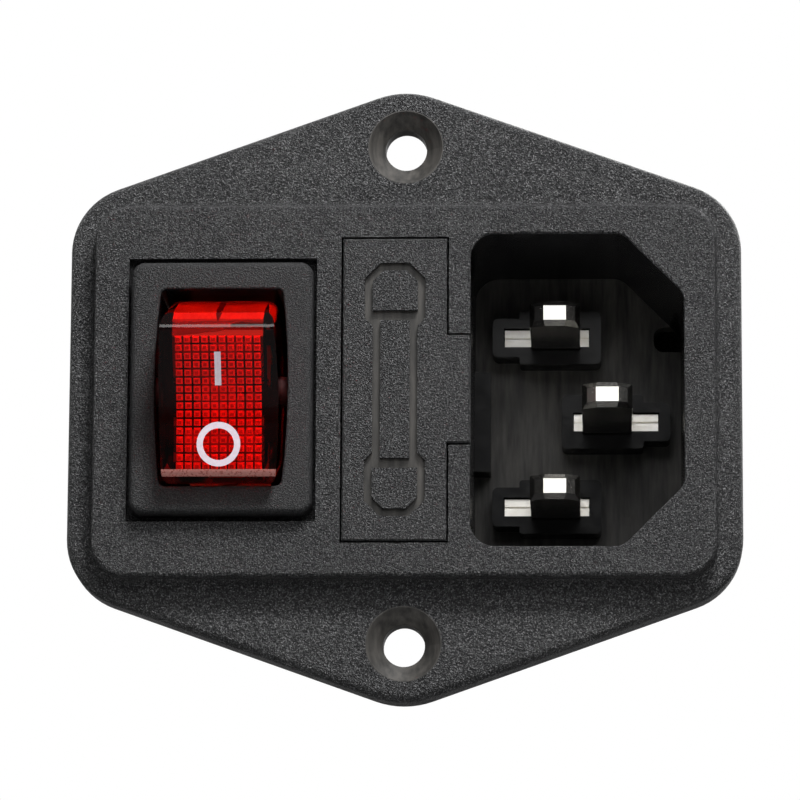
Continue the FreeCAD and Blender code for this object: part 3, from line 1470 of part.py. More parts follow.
def make_seesaw():
    """The moving contact: a strip bent to a shallow trough, on a cross pivot."""
    body = new_body("moving_contact")
    half = S["seesaw_thick"] / 2
    reach = S["seesaw_reach"]
    rise = reach * tan_of(S["seesaw_bend"])
    bend = S["seesaw_bend_radius"]
    strip = [
        (SEESAW_Y - half, as_size(0), bend),
        (SEESAW_Y - half - rise, reach),
        (SEESAW_Y + half - rise, reach),
        (SEESAW_Y + half, as_size(0), bend + S["seesaw_thick"]),
        (SEESAW_Y + half - rise, -reach),
        (SEESAW_Y - half - rise, -reach),
    ]
    side_pad(body, "strip", [strip], 0, S["seesaw_width"])
    pin = new_sketch(body, "pivot_sketch", "YZ_Plane", 0)
    draw_circle(pin, SEESAW_Y, 0, S["seesaw_pin"] / 2)
    width = (S["saddle_gap"] + S["saddle_wall"]) * 2
    feature(body, "Pad", "pivot", pin, width, middle=True)
    tilt_about(body, SWITCH_X, SEESAW_Y, -S["seesaw_tilt"])
    return body


def make_moving_rivet():
    """The silver contact under the lower arm of the moving contact."""
    body = new_body("moving_rivet")
    radius = S["rivet_width"] / 2
    thick = S["rivet_thick"]
    sketch = new_sketch(body, "rivet_sketch", "XZ_Plane", -(SEESAW_Y + arm_drop()))
    draw_circle(sketch, 0, 0, radius)
    feature(body, "Pad", "button", sketch, thick)
    slope = S["seesaw_bend"] + S["seesaw_tilt"]
    body.Placement = Placement(Vector(0, 0, 0), Rotation(Vector(1, 0, 0), 1))
    body.setExpression("Placement.Rotation.Angle", f"{(-slope).text} * 1 deg")
    along = S["rivet_z"] / cos_of(S["seesaw_bend"])
    y = SEESAW_Y * (1 - cos_of(slope)) - along * sin_of(slope)
    z = SEESAW_Y * sin_of(slope) - along * cos_of(slope)
    place(body, SWITCH_X, y, z)
    return body


def arm_drop():
    """From the moving contact's pivot to the rear face of its silver contact, across the arm."""
    return S["seesaw_thick"] / 2 * cos_of(S["seesaw_bend"]) + S["rivet_thick"]


def fixed_contact_y():
    """Where the fixed silver contact's face is, so that the closed contacts just miss."""
    slope = REST_SLOPE
    along = S["rivet_z"] / cos_of(S["seesaw_bend"]) - S["rivet_width"] / 2
    return SEESAW_Y - along * sin_of(slope) + arm_drop() * cos_of(slope) + S["rivet_gap"]


def shelf_terminal(name, side):
    """An outer terminal: a tab through the rear wall and a shelf bent towards the middle."""
    body = new_body(name)
    thick = S["tab_thick"]
    level = side * S["terminal_pitch"]
    shelf = fixed_contact_y() + S["rivet_thick"]
    inner = S["terminal_pitch"] - S["shelf_length"] + thick / 2
    outer = S["terminal_pitch"] + thick / 2
    outline = [
        (shelf, side * inner),
        (shelf, side * outer),
        (BODY_FLOOR, side * outer),
        (BODY_FLOOR, side * (outer - thick)),
        (shelf + thick, side * (outer - thick)),
        (shelf + thick, side * inner),
    ]
    side_pad(body, "shelf", [outline], 0, (S["lead_x"] + S["lamp_spring_width"] / 2) * 2)
    slit_tab(body, "tab", as_size(0), BODY_FLOOR - 0.3, BODY_REAR + S["tab_reach"], level)
    place(body, SWITCH_X)
    return body


def make_fixed_rivet():
    body = new_body("fixed_rivet")
    face = fixed_contact_y()
    sketch = new_sketch(
        body, "rivet_sketch", "XZ_Plane", -(face + S["rivet_thick"])
    )
    along = S["rivet_z"] / cos_of(S["seesaw_bend"])
    z = -(along * cos_of(REST_SLOPE) + arm_drop() * sin_of(REST_SLOPE))
    draw_circle(sketch, 0, z, S["rivet_width"] / 2)
    feature(body, "Pad", "button", sketch, S["rivet_thick"])
    place(body, SWITCH_X)
    return body


def make_lamp_spring(name, side):
    shelf = fixed_contact_y() + S["rivet_thick"]
    foot_y, _ = at_rest(lead_foot(), side * S["lamp_spring_z"])
    return make_spring(
        name, S["lamp_spring_width"], S["lamp_spring_wire"], S["lamp_spring_pitch"],
        foot_y + 0.25, shelf - 0.02,
        SWITCH_X + S["lead_x"], side * S["lamp_spring_z"],
    )


def make_all():
    pieces = [make_housing(), make_rear_cover()]
    for name, x, z, mirrored, recess in BLADES:
        pieces.append(make_blade(name, x, z, mirrored, recess))
    pieces += [make_upper_contact(), make_lower_contact(), make_line_link()]
    pieces.append(make_drawer())
    pieces += make_fuse("fuse", S["live_fuse_y"])
    pieces += make_fuse("spare_fuse", S["spare_fuse_y"])
    pieces += [make_switch_frame(), make_rocker(), make_plunger(), make_plunger_spring()]
    pieces += [make_lamp(), make_resistor()]
    pieces.append(make_lead("lamp_lead", S["lamp_width"], 1))
    pieces.append(make_lead("resistor_lead", S["resistor_width"], -1))
    pieces += [make_common_terminal(), make_seesaw(), make_moving_rivet()]
    pieces.append(shelf_terminal("load_terminal", -1))
    pieces.append(shelf_terminal("lamp_terminal", 1))
    pieces.append(make_fixed_rivet())
    pieces.append(make_lamp_spring("upper_lamp_spring", 1))
    pieces.append(make_lamp_spring("lower_lamp_spring", -1))
    return pieces


def check_and_export(pieces):
    doc.recompute()
    faults = [
        item.Name
        for item in doc.Objects
        if "Invalid" in item.State or "Error" in item.State
    ]
    for piece in pieces:
        shape = piece.Shape
        if shape.isNull() or not shape.isValid() or not shape.Solids:
            faults.append(piece.Label)
    if faults:
        raise ValueError(f"these did not build: {sorted(set(faults))}")
    os.makedirs("parts", exist_ok=True)
    for piece in pieces:
        piece.Shape.exportStep(f"parts/{piece.Label}.step")


check_and_export(make_all())
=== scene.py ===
"""A panel power entry module: appliance inlet, fuse drawer and lit rocker switch in one flange."""

import json
import math

import bmesh
import bpy
import numpy as np
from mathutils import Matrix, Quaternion, Vector


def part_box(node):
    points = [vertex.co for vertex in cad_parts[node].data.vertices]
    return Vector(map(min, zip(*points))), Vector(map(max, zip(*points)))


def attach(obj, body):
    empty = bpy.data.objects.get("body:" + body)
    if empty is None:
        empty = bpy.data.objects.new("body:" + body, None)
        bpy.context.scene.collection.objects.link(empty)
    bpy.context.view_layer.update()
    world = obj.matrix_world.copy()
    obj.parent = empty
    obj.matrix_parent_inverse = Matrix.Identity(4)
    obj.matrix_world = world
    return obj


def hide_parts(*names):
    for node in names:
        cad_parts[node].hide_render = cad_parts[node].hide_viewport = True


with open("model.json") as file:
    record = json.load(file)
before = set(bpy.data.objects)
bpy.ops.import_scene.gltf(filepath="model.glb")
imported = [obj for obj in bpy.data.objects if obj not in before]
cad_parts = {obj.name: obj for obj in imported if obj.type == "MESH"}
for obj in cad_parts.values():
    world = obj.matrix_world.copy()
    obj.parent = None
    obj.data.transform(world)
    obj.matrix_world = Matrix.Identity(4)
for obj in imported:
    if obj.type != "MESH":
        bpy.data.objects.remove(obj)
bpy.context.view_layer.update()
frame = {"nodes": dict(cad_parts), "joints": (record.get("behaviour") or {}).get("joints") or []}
MM = 0.001

# The housing, its rear cover and the fuse drawer are black polyamide, moulded in spark-eroded
# tools, so the show faces carry an even fine grain. The inlet's cavity, the screw holes' cones and
# the sunk fuse sign come from polished steel and stay smooth.

HOLE_SPACING = 40 * MM
COUNTERSINK_RADIUS = 3.0 * MM
FACE_Y = -4.7 * MM
CAVITY_BOX = (
    (5.23 * MM, FACE_Y + 0.15 * MM, -12.51 * MM),
    (22.05 * MM, 14.0 * MM, 12.51 * MM),
)
LEVEL_STEP = 0.05 * MM
LOOKS_FORWARD = -0.99
SIGN_DEPTHS = (0.2 * MM, 0.5 * MM)
SIGN_FLOOR_DEPTH = 0.36 * MM

GRAIN_PITCH = 0.21 * MM
GRAIN_DEPTH = 0.42 * MM
GRAIN_ROUGHNESS = 0.36
COARSE_SHARE = 0.65
FINE_SHARE = 0.45
FINE_RATIO = 1.7
GLINT_HEIGHTS = (0.6, 0.7)
PIT_HEIGHTS = (0.62, 0.5)
PIT_SHARE = 0.7

BLACK_MOULDING = (0.021, 0.0213, 0.0224, 1)
PALER_MOULDING = (0.028, 0.0283, 0.029, 1)
POLISHED_AND_SHADED_MOULDING = (0.009, 0.009, 0.0095, 1)
STREAK_DARK_MOULDING = (0.017, 0.0165, 0.0155, 1)
STREAK_PALE_MOULDING = (0.060, 0.056, 0.051, 1)
PIT_SHADE_BLACK = (0.004, 0.004, 0.0045, 1)
GLINT_GREY = (0.17, 0.17, 0.174, 1)
CONE_PAINTED_SHEEN = 0.85

GLOSS = 0.62
PIT_GLOSS_LOSS = 0.35
POLISH_GLOSS_LOSS = 0.42
DULL_GLOSS_GAIN = 0.14
POLISHED_ROUGHNESS = (0.16, 0.26)
DULL_ROUGHNESS_GAIN = 0.28
POLISH_RELIEF = 0.03

CLOUD_PITCH = 6 * MM
WANDER_PITCH = 1.4 * MM
STREAK_PITCH = 0.5 * MM
EVENLY = (1, 1, 1)
ALONG_Z = (1, 1, 0.12)


def new_material(name):
    """An empty node material with a Principled shader wired to its output, and that shader."""
    material = bpy.data.materials.new(name)
    material.use_nodes = True
    tree = material.node_tree
    tree.nodes.clear()
    shader = tree.nodes.new("ShaderNodeBsdfPrincipled")
    output = tree.nodes.new("ShaderNodeOutputMaterial")
    tree.links.new(shader.outputs["BSDF"], output.inputs["Surface"])
    return material, tree, shader


def connect(tree, value, socket):
    """Links an output socket, or writes a plain value."""
    if isinstance(value, bpy.types.NodeSocket):
        tree.links.new(value, socket)
    else:
        socket.default_value = value


def calculate(tree, operation, *values):
    """One Math node over sockets and numbers."""
    node = tree.nodes.new("ShaderNodeMath")
    node.operation = operation
    for value, socket in zip(values, node.inputs):
        connect(tree, value, socket)
    return node.outputs[0]


def product(tree, first, *others):
    """Values multiplied together."""
    for value in others:
        first = calculate(tree, "MULTIPLY", first, value)
    return first


def total(tree, first, *others):
    """Values added together."""
    for value in others:
        first = calculate(tree, "ADD", first, value)
    return first


def object_axes(tree):
    """The Object coordinate vector and its three parts, in metres."""
    coordinates = tree.nodes.new("ShaderNodeTexCoord")
    parts = tree.nodes.new("ShaderNodeSeparateXYZ")
    tree.links.new(coordinates.outputs["Object"], parts.inputs[0])
    return coordinates.outputs["Object"], parts.outputs


def noise(tree, place, pitch, detail=2.0, roughness=0.5, stretch=EVENLY):
    """A noise field whose lumps are about a pitch wide, drawn out along the axes where stretch
    is small."""
    mapping = tree.nodes.new("ShaderNodeMapping")
    mapping.inputs["Scale"].default_value = stretch
    tree.links.new(place, mapping.inputs["Vector"])
    field = tree.nodes.new("ShaderNodeTexNoise")
    field.inputs["Scale"].default_value = 1 / pitch
    field.inputs["Detail"].default_value = detail
    field.inputs["Roughness"].default_value = roughness
    tree.links.new(mapping.outputs[0], field.inputs["Vector"])
    return field.outputs["Fac"]


def ramp(tree, value, low, high, low_to=0.0, high_to=1.0):
    """Maps a value from one range to another, clamped at both ends."""
    node = tree.nodes.new("ShaderNodeMapRange")
    connect(tree, value, node.inputs["Value"])
    for name, number in (
        ("From Min", low), ("From Max", high), ("To Min", low_to), ("To Max", high_to)
    ):
        connect(tree, number, node.inputs[name])
    return node.outputs["Result"]


def spread(tree, field, low_to=0.0, high_to=1.0):
    """Maps a noise field, whose values lie mostly between 0.3 and 0.7, to another range."""
    return ramp(tree, field, 0.3, 0.7, low_to, high_to)


def mix_colours(tree, share, first, second):
    """The first colour where share is 0 and the second where it is 1."""
    node = tree.nodes.new("ShaderNodeMix")
    node.data_type = "RGBA"
    connect(tree, share, node.inputs["Factor"])
    connect(tree, first, node.inputs["A"])
    connect(tree, second, node.inputs["B"])
    return node.outputs["Result"]


def bump(tree, shader, height, distance, strength=1.0):
    """A Bump node that feeds the shader's normal."""
    node = tree.nodes.new("ShaderNodeBump")
    node.inputs["Distance"].default_value = distance
    node.inputs["Strength"].default_value = strength
    connect(tree, height, node.inputs["Height"])
    tree.links.new(node.outputs["Normal"], shader.inputs["Normal"])


def grain_group():
    """Spark-eroded grain as a node group. Height runs about 0 to 1: lumps a pitch wide with finer
    ones on them. Glint is 1 on the few sharp tips, which take a painted highlight for the light
    they would catch."""
    group = bpy.data.node_groups.new("spark_grain", "ShaderNodeTree")
    face = group.interface
    face.new_socket(name="Place", in_out="INPUT", socket_type="NodeSocketVector")
    face.new_socket(name="Per metre", in_out="INPUT", socket_type="NodeSocketFloat")
    face.new_socket(name="Height", in_out="OUTPUT", socket_type="NodeSocketFloat")
    face.new_socket(name="Glint", in_out="OUTPUT", socket_type="NodeSocketFloat")
    entry = group.nodes.new("NodeGroupInput")
    leave = group.nodes.new("NodeGroupOutput")
    layers = []
    for closer, detail in ((1.0, 3.0), (FINE_RATIO, 1.0)):
        layer = group.nodes.new("ShaderNodeTexNoise")
        layer.inputs["Detail"].default_value = detail
        layer.inputs["Roughness"].default_value = 0.7
        group.links.new(entry.outputs["Place"], layer.inputs["Vector"])
        per_metre = product(group, entry.outputs["Per metre"], closer)
        group.links.new(per_metre, layer.inputs["Scale"])
        layers.append(layer.outputs["Fac"])
    coarse, fine = layers
    height = total(group, product(group, coarse, COARSE_SHARE), product(group, fine, FINE_SHARE))
    group.links.new(height, leave.inputs["Height"])
    group.links.new(ramp(group, fine, *GLINT_HEIGHTS), leave.inputs["Glint"])
    return group


SPARK_GRAIN = grain_group()


def grain(tree, place, pitch):
    """Places the grain group in a material and returns its height and its glints, the tips that
    take a painted highlight.
    """
    node = tree.nodes.new("ShaderNodeGroup")
    node.node_tree = SPARK_GRAIN
    tree.links.new(place, node.inputs["Place"])
    node.inputs["Per metre"].default_value = 1 / pitch
    return node.outputs["Height"], node.outputs["Glint"]


def inside(tree, value, low, high):
    """1 where a value lies between two numbers, else 0."""
    above = calculate(tree, "GREATER_THAN", value, low)
    below = calculate(tree, "LESS_THAN", value, high)
    return product(tree, above, below)


def paint(material, *names):
    """Puts a material on CAD nodes."""
    for name in names:
        node = frame["nodes"][name]
        for slot in node.material_slots:
            slot.link = "OBJECT"
            slot.material = material


def moulding_tone(tree, place, polished, paler):
    """The plastic's black: two blacks in slow clouds, and a deeper one on polished faces, partly
    for their smooth finish and partly as painted shade in the hollows they line. Where it is paler,
    upright streaks of grey, which on the screw holes' cones are a painted reflection."""
    cloud = noise(tree, place, CLOUD_PITCH, detail=3.0)
    tone = mix_colours(tree, ramp(tree, cloud, 0.35, 0.65), BLACK_MOULDING, PALER_MOULDING)
    # Painted shade in part: polished faces, which line hollows, take a deeper black.
    tone = mix_colours(tree, polished, tone, POLISHED_AND_SHADED_MOULDING)
    # Upright grey streaks where it is paler; on the cones they are a painted reflection.
    streaks = noise(tree, place, STREAK_PITCH, detail=4.0, roughness=0.6, stretch=ALONG_Z)
    streaked = mix_colours(tree, spread(tree, streaks), STREAK_DARK_MOULDING, STREAK_PALE_MOULDING)
    return mix_colours(tree, paler, tone, streaked)


def black_moulding(
    name, polish, pitch=GRAIN_PITCH, depth=GRAIN_DEPTH, roughness=GRAIN_ROUGHNESS, dulled=0.0
):
    """Grained black plastic. polish makes three masks in the tree, each 1 where it holds: faces
    left by polished steel, places that are paler than the rest, and places that are duller.
    dulled is 0 for grain with painted shade in its pits and painted highlights on its tips, and 1
    for grain that is relief alone."""
    material, tree, shader = new_material(name)
    place, axes = object_axes(tree)
    height, glint = grain(tree, place, pitch)
    polished, paler, duller = polish(tree, axes)
    grained = calculate(tree, "SUBTRACT", 1.0, polished)
    pit = product(tree, ramp(tree, height, *PIT_HEIGHTS), grained)
    crisp = 1 - dulled

    # Painted shade: the grain's pits are darkened towards a near black.
    darkened = calculate(tree, "MULTIPLY_ADD", pit, PIT_SHARE * crisp, dulled)
    tone = mix_colours(tree, darkened, moulding_tone(tree, place, polished, paler), PIT_SHADE_BLACK)
    # Painted highlight: grey on the grain's sharpest tips.
    painted_glints = product(tree, glint, grained, PIT_SHARE * crisp**2)
    tree.links.new(mix_colours(tree, painted_glints, tone, GLINT_GREY), shader.inputs["Base Color"])

    gloss = total(
        tree,
        product(tree, pit, -PIT_GLOSS_LOSS * crisp),
        product(tree, polished, -POLISH_GLOSS_LOSS),
        product(tree, duller, DULL_GLOSS_GAIN),
        GLOSS * (1 - 0.5 * dulled),
    )
    tree.links.new(gloss, shader.inputs["Specular IOR Level"])

    wander = noise(tree, place, WANDER_PITCH, detail=4.0)
    on_grain = spread(tree, wander, roughness, roughness + 0.08)
    on_polish = total(
        tree, spread(tree, wander, *POLISHED_ROUGHNESS), product(tree, duller, DULL_ROUGHNESS_GAIN)
    )
    rough = total(tree, product(tree, on_grain, grained), product(tree, on_polish, polished))
    tree.links.new(rough, shader.inputs["Roughness"])
    relief = total(tree, product(tree, height, grained), product(tree, wander, POLISH_RELIEF))
    bump(tree, shader, relief, depth)
    return material


def cavity_floor():
    """Depth of the inlet's floor: the level that carries most of the cavity's forward faces."""
    faces = frame["nodes"]["housing"].data.polygons
    numbers = {"center": np.zeros(len(faces) * 3), "normal": np.zeros(len(faces) * 3)}
    areas = np.zeros(len(faces))
    for name, values in numbers.items():
        faces.foreach_get(name, values)
    faces.foreach_get("area", areas)
    centres, normals = (values.reshape(-1, 3) for values in numbers.values())
    low, high = (np.array(corner) for corner in CAVITY_BOX)
    kept = (normals[:, 1] < LOOKS_FORWARD) & ((centres > low) & (centres < high)).all(1)
    levels = np.round(centres[kept, 1] / LEVEL_STEP).astype(int)
    found, place = np.unique(levels, return_inverse=True)
    return float(found[np.argmax(np.bincount(place, areas[kept]))]) * LEVEL_STEP


def housing_polish(tree, axes):
    """Polished places of the housing: the screw holes' cones, inside a circle about each hole, and
    the inlet's cavity, inside a box. The cones and the cavity's floor are paler and duller; on the
    cones the paler tone is a painted reflection."""
    rise = calculate(tree, "SUBTRACT", calculate(tree, "ABSOLUTE", axes["Z"]), HOLE_SPACING / 2)
    squares = total(tree, product(tree, axes["X"], axes["X"]), product(tree, rise, rise))
    cone = calculate(tree, "LESS_THAN", calculate(tree, "SQRT", squares), COUNTERSINK_RADIUS)
    sides = [inside(tree, axes[axis], *span) for axis, span in zip("XYZ", zip(*CAVITY_BOX))]
    cavity = product(tree, *sides)
    deep = calculate(tree, "GREATER_THAN", axes["Y"], cavity_floor() - 2 * LEVEL_STEP)
    floor = product(tree, deep, cavity)
    # On the cones the paler share is a painted reflection.
    paler = calculate(tree, "MAXIMUM", product(tree, cone, CONE_PAINTED_SHEEN), floor)
    duller = calculate(tree, "MAXIMUM", cone, floor)
    return calculate(tree, "MAXIMUM", cone, cavity), paler, duller


def lid_polish(tree, axes):
    """The sunk sign in the drawer's lid is polished: it lies just behind the lid's face."""
    lid_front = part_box("fuse_drawer")[0].y
    start, end = (lid_front + depth for depth in SIGN_DEPTHS)
    floor = inside(tree, axes["Y"], lid_front + SIGN_FLOOR_DEPTH, end)
    return inside(tree, axes["Y"], start, end), floor, floor


paint(black_moulding("housing_black", housing_polish), "housing", "rear_cover")
drawer_black = black_moulding(
    "drawer_black", lid_polish, pitch=0.2 * MM, depth=0.34 * MM, roughness=0.4, dulled=0.2
)
paint(drawer_black, "fuse_drawer")

# The switch's frame is a separate moulding in a finer, duller grain. It snaps into the housing from
# the front, and its four walls are polished inside the window, where the rocker moves.

WINDOW_HALF = (5.3 * MM, 7.9 * MM)
FRONT_EDGE = 0.1 * MM
BEZEL_HALF = (7.3 * MM, 10.4 * MM)
BEZEL_THICK = 2.0 * MM
BEZEL_PULL = (0.1 * MM, 0.3 * MM)
PULL_START = 1.3 * MM
PULL_SPAN = 0.6 * MM
HAIR = 0.01 * MM
CREASE = math.radians(28)


def frame_polish(tree, axes):
    """Polished places of the frame: the window's walls, behind its front edge. Their deeper black
    is partly painted shade.
    """
    low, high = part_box("switch_frame")
    middle = (low.x + high.x) / 2
    across = inside(tree, axes["X"], middle - WINDOW_HALF[0], middle + WINDOW_HALF[0])
    up = inside(tree, axes["Z"], -WINDOW_HALF[1], WINDOW_HALF[1])
    behind = calculate(tree, "GREATER_THAN", axes["Y"], low.y + FRONT_EDGE)
    return product(tree, across, up, behind), 0.0, 0.0


def merged_copy(node, name):
    """A copy of a CAD node with its loose triangles joined."""
    made = bpy.data.objects.new(name, frame["nodes"][node].data.copy())
    bpy.context.scene.collection.objects.link(made)
    shape = bmesh.new()
    shape.from_mesh(made.data)
    bmesh.ops.remove_doubles(shape, verts=shape.verts, dist=1e-6)
    shape.to_mesh(made.data)
    shape.free()
    if "custom_normal" in made.data.attributes:
        made.data.attributes.remove(made.data.attributes["custom_normal"])
    made.data.materials.clear()
    return made


def slimmed_frame():
    """The frame with its bezel drawn in a little, so the black gap round it shows as it does. The
    bezel's points move towards the middle. The move grows from nothing, a little way inside the
    outline, to the whole pull at the outline, so the window keeps its size."""
    made = merged_copy("switch_frame", "switch_bezel")
    low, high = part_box("switch_frame")
    middle = np.array([(low.x + high.x) / 2, 0.0])
    points = np.zeros(len(made.data.vertices) * 3)
    made.data.vertices.foreach_get("co", points)
    points = points.reshape(-1, 3)
    sides = points[:, [0, 2]] - middle
    share = np.clip((np.abs(sides) - np.array(BEZEL_HALF) + PULL_START) / PULL_SPAN, 0, 1)
    front = (points[:, 1] < low.y + BEZEL_THICK + HAIR)[:, None]
    points[:, [0, 2]] -= np.sign(sides) * share * np.array(BEZEL_PULL) * front
    made.data.vertices.foreach_set("co", points.ravel())
    made.data.polygons.foreach_set("use_smooth", np.ones(len(made.data.polygons), bool))
    made.data.set_sharp_from_angle(angle=CREASE)
    made.data.update()
    return made


switch_black = black_moulding(
    "switch_black", frame_polish, pitch=0.15 * MM, depth=0.2 * MM, roughness=0.44, dulled=0.6
)
switch_bezel = slimmed_frame()
switch_bezel.data.materials.append(switch_black)
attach(switch_bezel, "module")
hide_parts("switch_frame")

# Blades, tabs and contacts are stamped from brass sheet and plated: bright nickel on the blades,
# tin on the tabs. The sheet's rolling lines and handling scuffs run along the blade, and sheared
# edges are rougher. The fuse contacts are bronze.

ALONG_Y = (1, 0.12, 1)
BLOTCH_PITCH = 1.6 * MM
NICK_PITCH = 0.16 * MM
PLATE_RELIEF = 0.1 * MM
LINE_SHARE = 0.1
NICK_SHARE = 0.3
SHEARED_TURN = (0.8, 0.95)
SHEARED_ROUGHNESS_GAIN = 0.24
BEVEL_TURN = (0.15, 0.97)


def plated(name, colour, tint, roughness, streak=ALONG_Y, pitch=0.25 * MM):
    """Rolled, plated metal: streaks along Y, blotches in tone and a soft lumpy relief. How far a
    face is turned towards Y tells a rolled face from a nicked bevel and a rough sheared edge."""
    material, tree, shader = new_material(name)
    place, _ = object_axes(tree)
    lines = noise(tree, place, pitch, detail=5.0, roughness=0.65, stretch=streak)
    blotch = noise(tree, place, BLOTCH_PITCH, detail=3.0)
    tone = mix_colours(tree, ramp(tree, blotch, 0.35, 0.7), colour, tint)
    tree.links.new(tone, shader.inputs["Base Color"])
    shader.inputs["Metallic"].default_value = 1.0
    facing = tree.nodes.new("ShaderNodeTexCoord")
    along = tree.nodes.new("ShaderNodeSeparateXYZ")
    tree.links.new(facing.outputs["Normal"], along.inputs[0])
    turned = calculate(tree, "ABSOLUTE", along.outputs["Y"])
    rolled = spread(tree, lines, 0.75 * roughness, 1.3 * roughness)
    sheared = ramp(tree, turned, *SHEARED_TURN, 0, SHEARED_ROUGHNESS_GAIN)
    tree.links.new(total(tree, rolled, sheared), shader.inputs["Roughness"])
    bevel = inside(tree, turned, *BEVEL_TURN)
    nicks = noise(tree, place, NICK_PITCH, detail=3.0, roughness=0.7, stretch=(0.3, 1, 1))
    relief = total(
        tree, product(tree, lines, LINE_SHARE), product(tree, nicks, bevel, NICK_SHARE)
    )
    bump(tree, shader, relief, PLATE_RELIEF, 0.8)
    return material


nickel = plated("nickel_plate", (0.95, 0.935, 0.89, 1), (0.86, 0.83, 0.76, 1), 0.2)
paint(nickel, "line_blade", "neutral_blade", "earth_blade", "line_link")
tinned = plated("tinned_brass", (0.82, 0.79, 0.71, 1), (0.74, 0.69, 0.58, 1), 0.3)
paint(tinned, "common_terminal", "load_terminal", "lamp_terminal", "moving_contact")
bronze = plated("spring_bronze", (0.84, 0.64, 0.44, 1), (0.74, 0.54, 0.35, 1), 0.28)
paint(bronze, "upper_fuse_contact", "lower_fuse_contact")
silver = plated("contact_silver", (0.9, 0.89, 0.87, 1), (0.78, 0.76, 0.72, 1), 0.34, EVENLY)
paint(silver, "moving_rivet", "fixed_rivet")
steel = plated("spring_steel", (0.62, 0.61, 0.60, 1), (0.45, 0.44, 0.43, 1), 0.25, EVENLY)
paint(steel, "plunger_spring", "upper_lamp_spring", "lower_lamp_spring")
paint(steel, "lamp_lead", "resistor_lead")

# Two cartridge fuses lie in the drawer: glass tubes with nickelled caps pressed on their ends and a
# thin wire soldered through them. The drawer's rear half carries the live one.

caps = plated("fuse_caps", (0.82, 0.81, 0.78, 1), (0.7, 0.68, 0.62, 1), 0.18, ALONG_Z)
paint(caps, "fuse_upper_cap", "fuse_lower_cap", "spare_fuse_upper_cap", "spare_fuse_lower_cap")
paint(bronze, "fuse_wire", "spare_fuse_wire")


def clear_glass(name, colour, roughness):
    """Clear glass with faint drawing lines along the tube."""
    material, tree, shader = new_material(name)
    place, _ = object_axes(tree)
    lines = noise(tree, place, 0.8 * MM, stretch=(1, 1, 0.1))
    shader.inputs["Base Color"].default_value = colour
    shader.inputs["Transmission Weight"].default_value = 1.0
    shader.inputs["IOR"].default_value = 1.48
    rough = spread(tree, lines, roughness, roughness + 0.04)
    tree.links.new(rough, shader.inputs["Roughness"])
    bump(tree, shader, lines, 0.01 * MM, 0.3)
    return material


tube_glass = clear_glass("tube_glass", (0.95, 0.98, 0.97, 1), 0.02)
paint(tube_glass, "fuse_glass", "spare_fuse_glass")

# The rocker is clear red acrylic, moulded hollow in one piece with its trunnions. Small blunt
# pyramids in the hollow's roof throw the light back, which is painted on them as a glow, and two
# ridges border the dished face.

TILT = math.radians(18)
DISH = math.radians(12)
VALLEY_RADIUS = 9 * MM
RIDGE_ALONG = 5.8 * MM
RIDGE_ABOVE = 5.57 * MM
ROCKER_WALL = 1.0 * MM
ROOF_ALONG = RIDGE_ALONG - 0.8 * ROCKER_WALL
ROOF_ABOVE = RIDGE_ABOVE - 1.1 * ROCKER_WALL

LENS_COLUMNS = 10
LENS_ROWS = 16
LENS_PITCH = 0.685 * MM
LENS_RISE = 0.672 * MM
LENS_START = -5.66 * MM
LENS_FOOT = 0.57 * MM
LENS_TOP = 0.27 * MM
LENS_DEPTH = 0.26 * MM
LENS_SINK = 0.04 * MM
CELL_MARGIN = 0.03 * MM

END_ASIDE = 3.5 * MM
END_ALONG = (5.1 * MM, 6.02 * MM)
END_ABOVE = 4.3 * MM
END_DARK_ABOVE = (3.5 * MM, 3.9 * MM)
WEDGE_SHADE_ABOVE = (2.2 * MM, 4.2 * MM)
WEDGE_SHADE_HALF = (0.24 * MM, 0.04 * MM)
RIDGE_HIGHLIGHT_ALONG = 0.42 * MM
RIDGE_HIGHLIGHT_ABOVE = 5.1 * MM
TRUNNION_ASIDE = 4.78 * MM
TRUNNION_REACH = 2.2 * MM

rocker_pivot = Vector(
    [joint for joint in frame["joints"] if joint["name"] == "rocker_tilt"][0]["pos_m"]
)


def rocker_to_row(points):
    """From the rocker's own (across, along the face, above the pivot) to the row frame at rest,
    where the rocker is turned by its tilt about the pivot's line."""
    across, along, above = np.moveaxis(np.asarray(points, float), -1, 0)
    y = -above * math.cos(TILT) - along * math.sin(TILT)
    z = along * math.cos(TILT) - above * math.sin(TILT)
    return np.stack([across, y, z], -1) + np.array(rocker_pivot)


def row_to_rocker(points):
    """The reverse of rocker_to_row."""
    across, y, z = np.moveaxis(np.asarray(points, float) - np.array(rocker_pivot), -1, 0)
    along = -y * math.sin(TILT) + z * math.cos(TILT)
    above = -y * math.cos(TILT) - z * math.sin(TILT)
    return np.stack([across, along, above], -1)


def dished_height(along, ridge_along, ridge_above):
    """Height of a dished face: two straight slopes that meet in a round valley."""
    straight = ridge_above - (ridge_along - np.abs(along)) * math.tan(DISH)
    reach = VALLEY_RADIUS * math.sin(DISH)
    bottom = ridge_above - ridge_along * math.tan(DISH) + VALLEY_RADIUS / math.cos(DISH)
    bowl = bottom - np.sqrt(VALLEY_RADIUS**2 - np.minimum(np.abs(along), reach) ** 2)
    return np.where(np.abs(along) < reach, bowl, straight)


def roof_height(along):
    """Height of the hollow's roof, which follows the face at a wall's depth."""
    return dished_height(along, ROOF_ALONG, ROOF_ABOVE)


def mesh_object(name, points, faces):
    """An object with a mesh of the given points and four-cornered faces."""
    mesh = bpy.data.meshes.new(name)
    mesh.from_pydata(np.asarray(points, float).tolist(), [], np.asarray(faces).tolist())
    mesh.validate()
    mesh.update()
    made = bpy.data.objects.new(name, mesh)
    bpy.context.scene.collection.objects.link(made)
    return made


def turn_outward(made):
    """Points every face of a closed mesh outwards."""
    shape = bmesh.new()
    shape.from_mesh(made.data)
    bmesh.ops.recalc_face_normals(shape, faces=shape.faces)
    shape.to_mesh(made.data)
    shape.free()


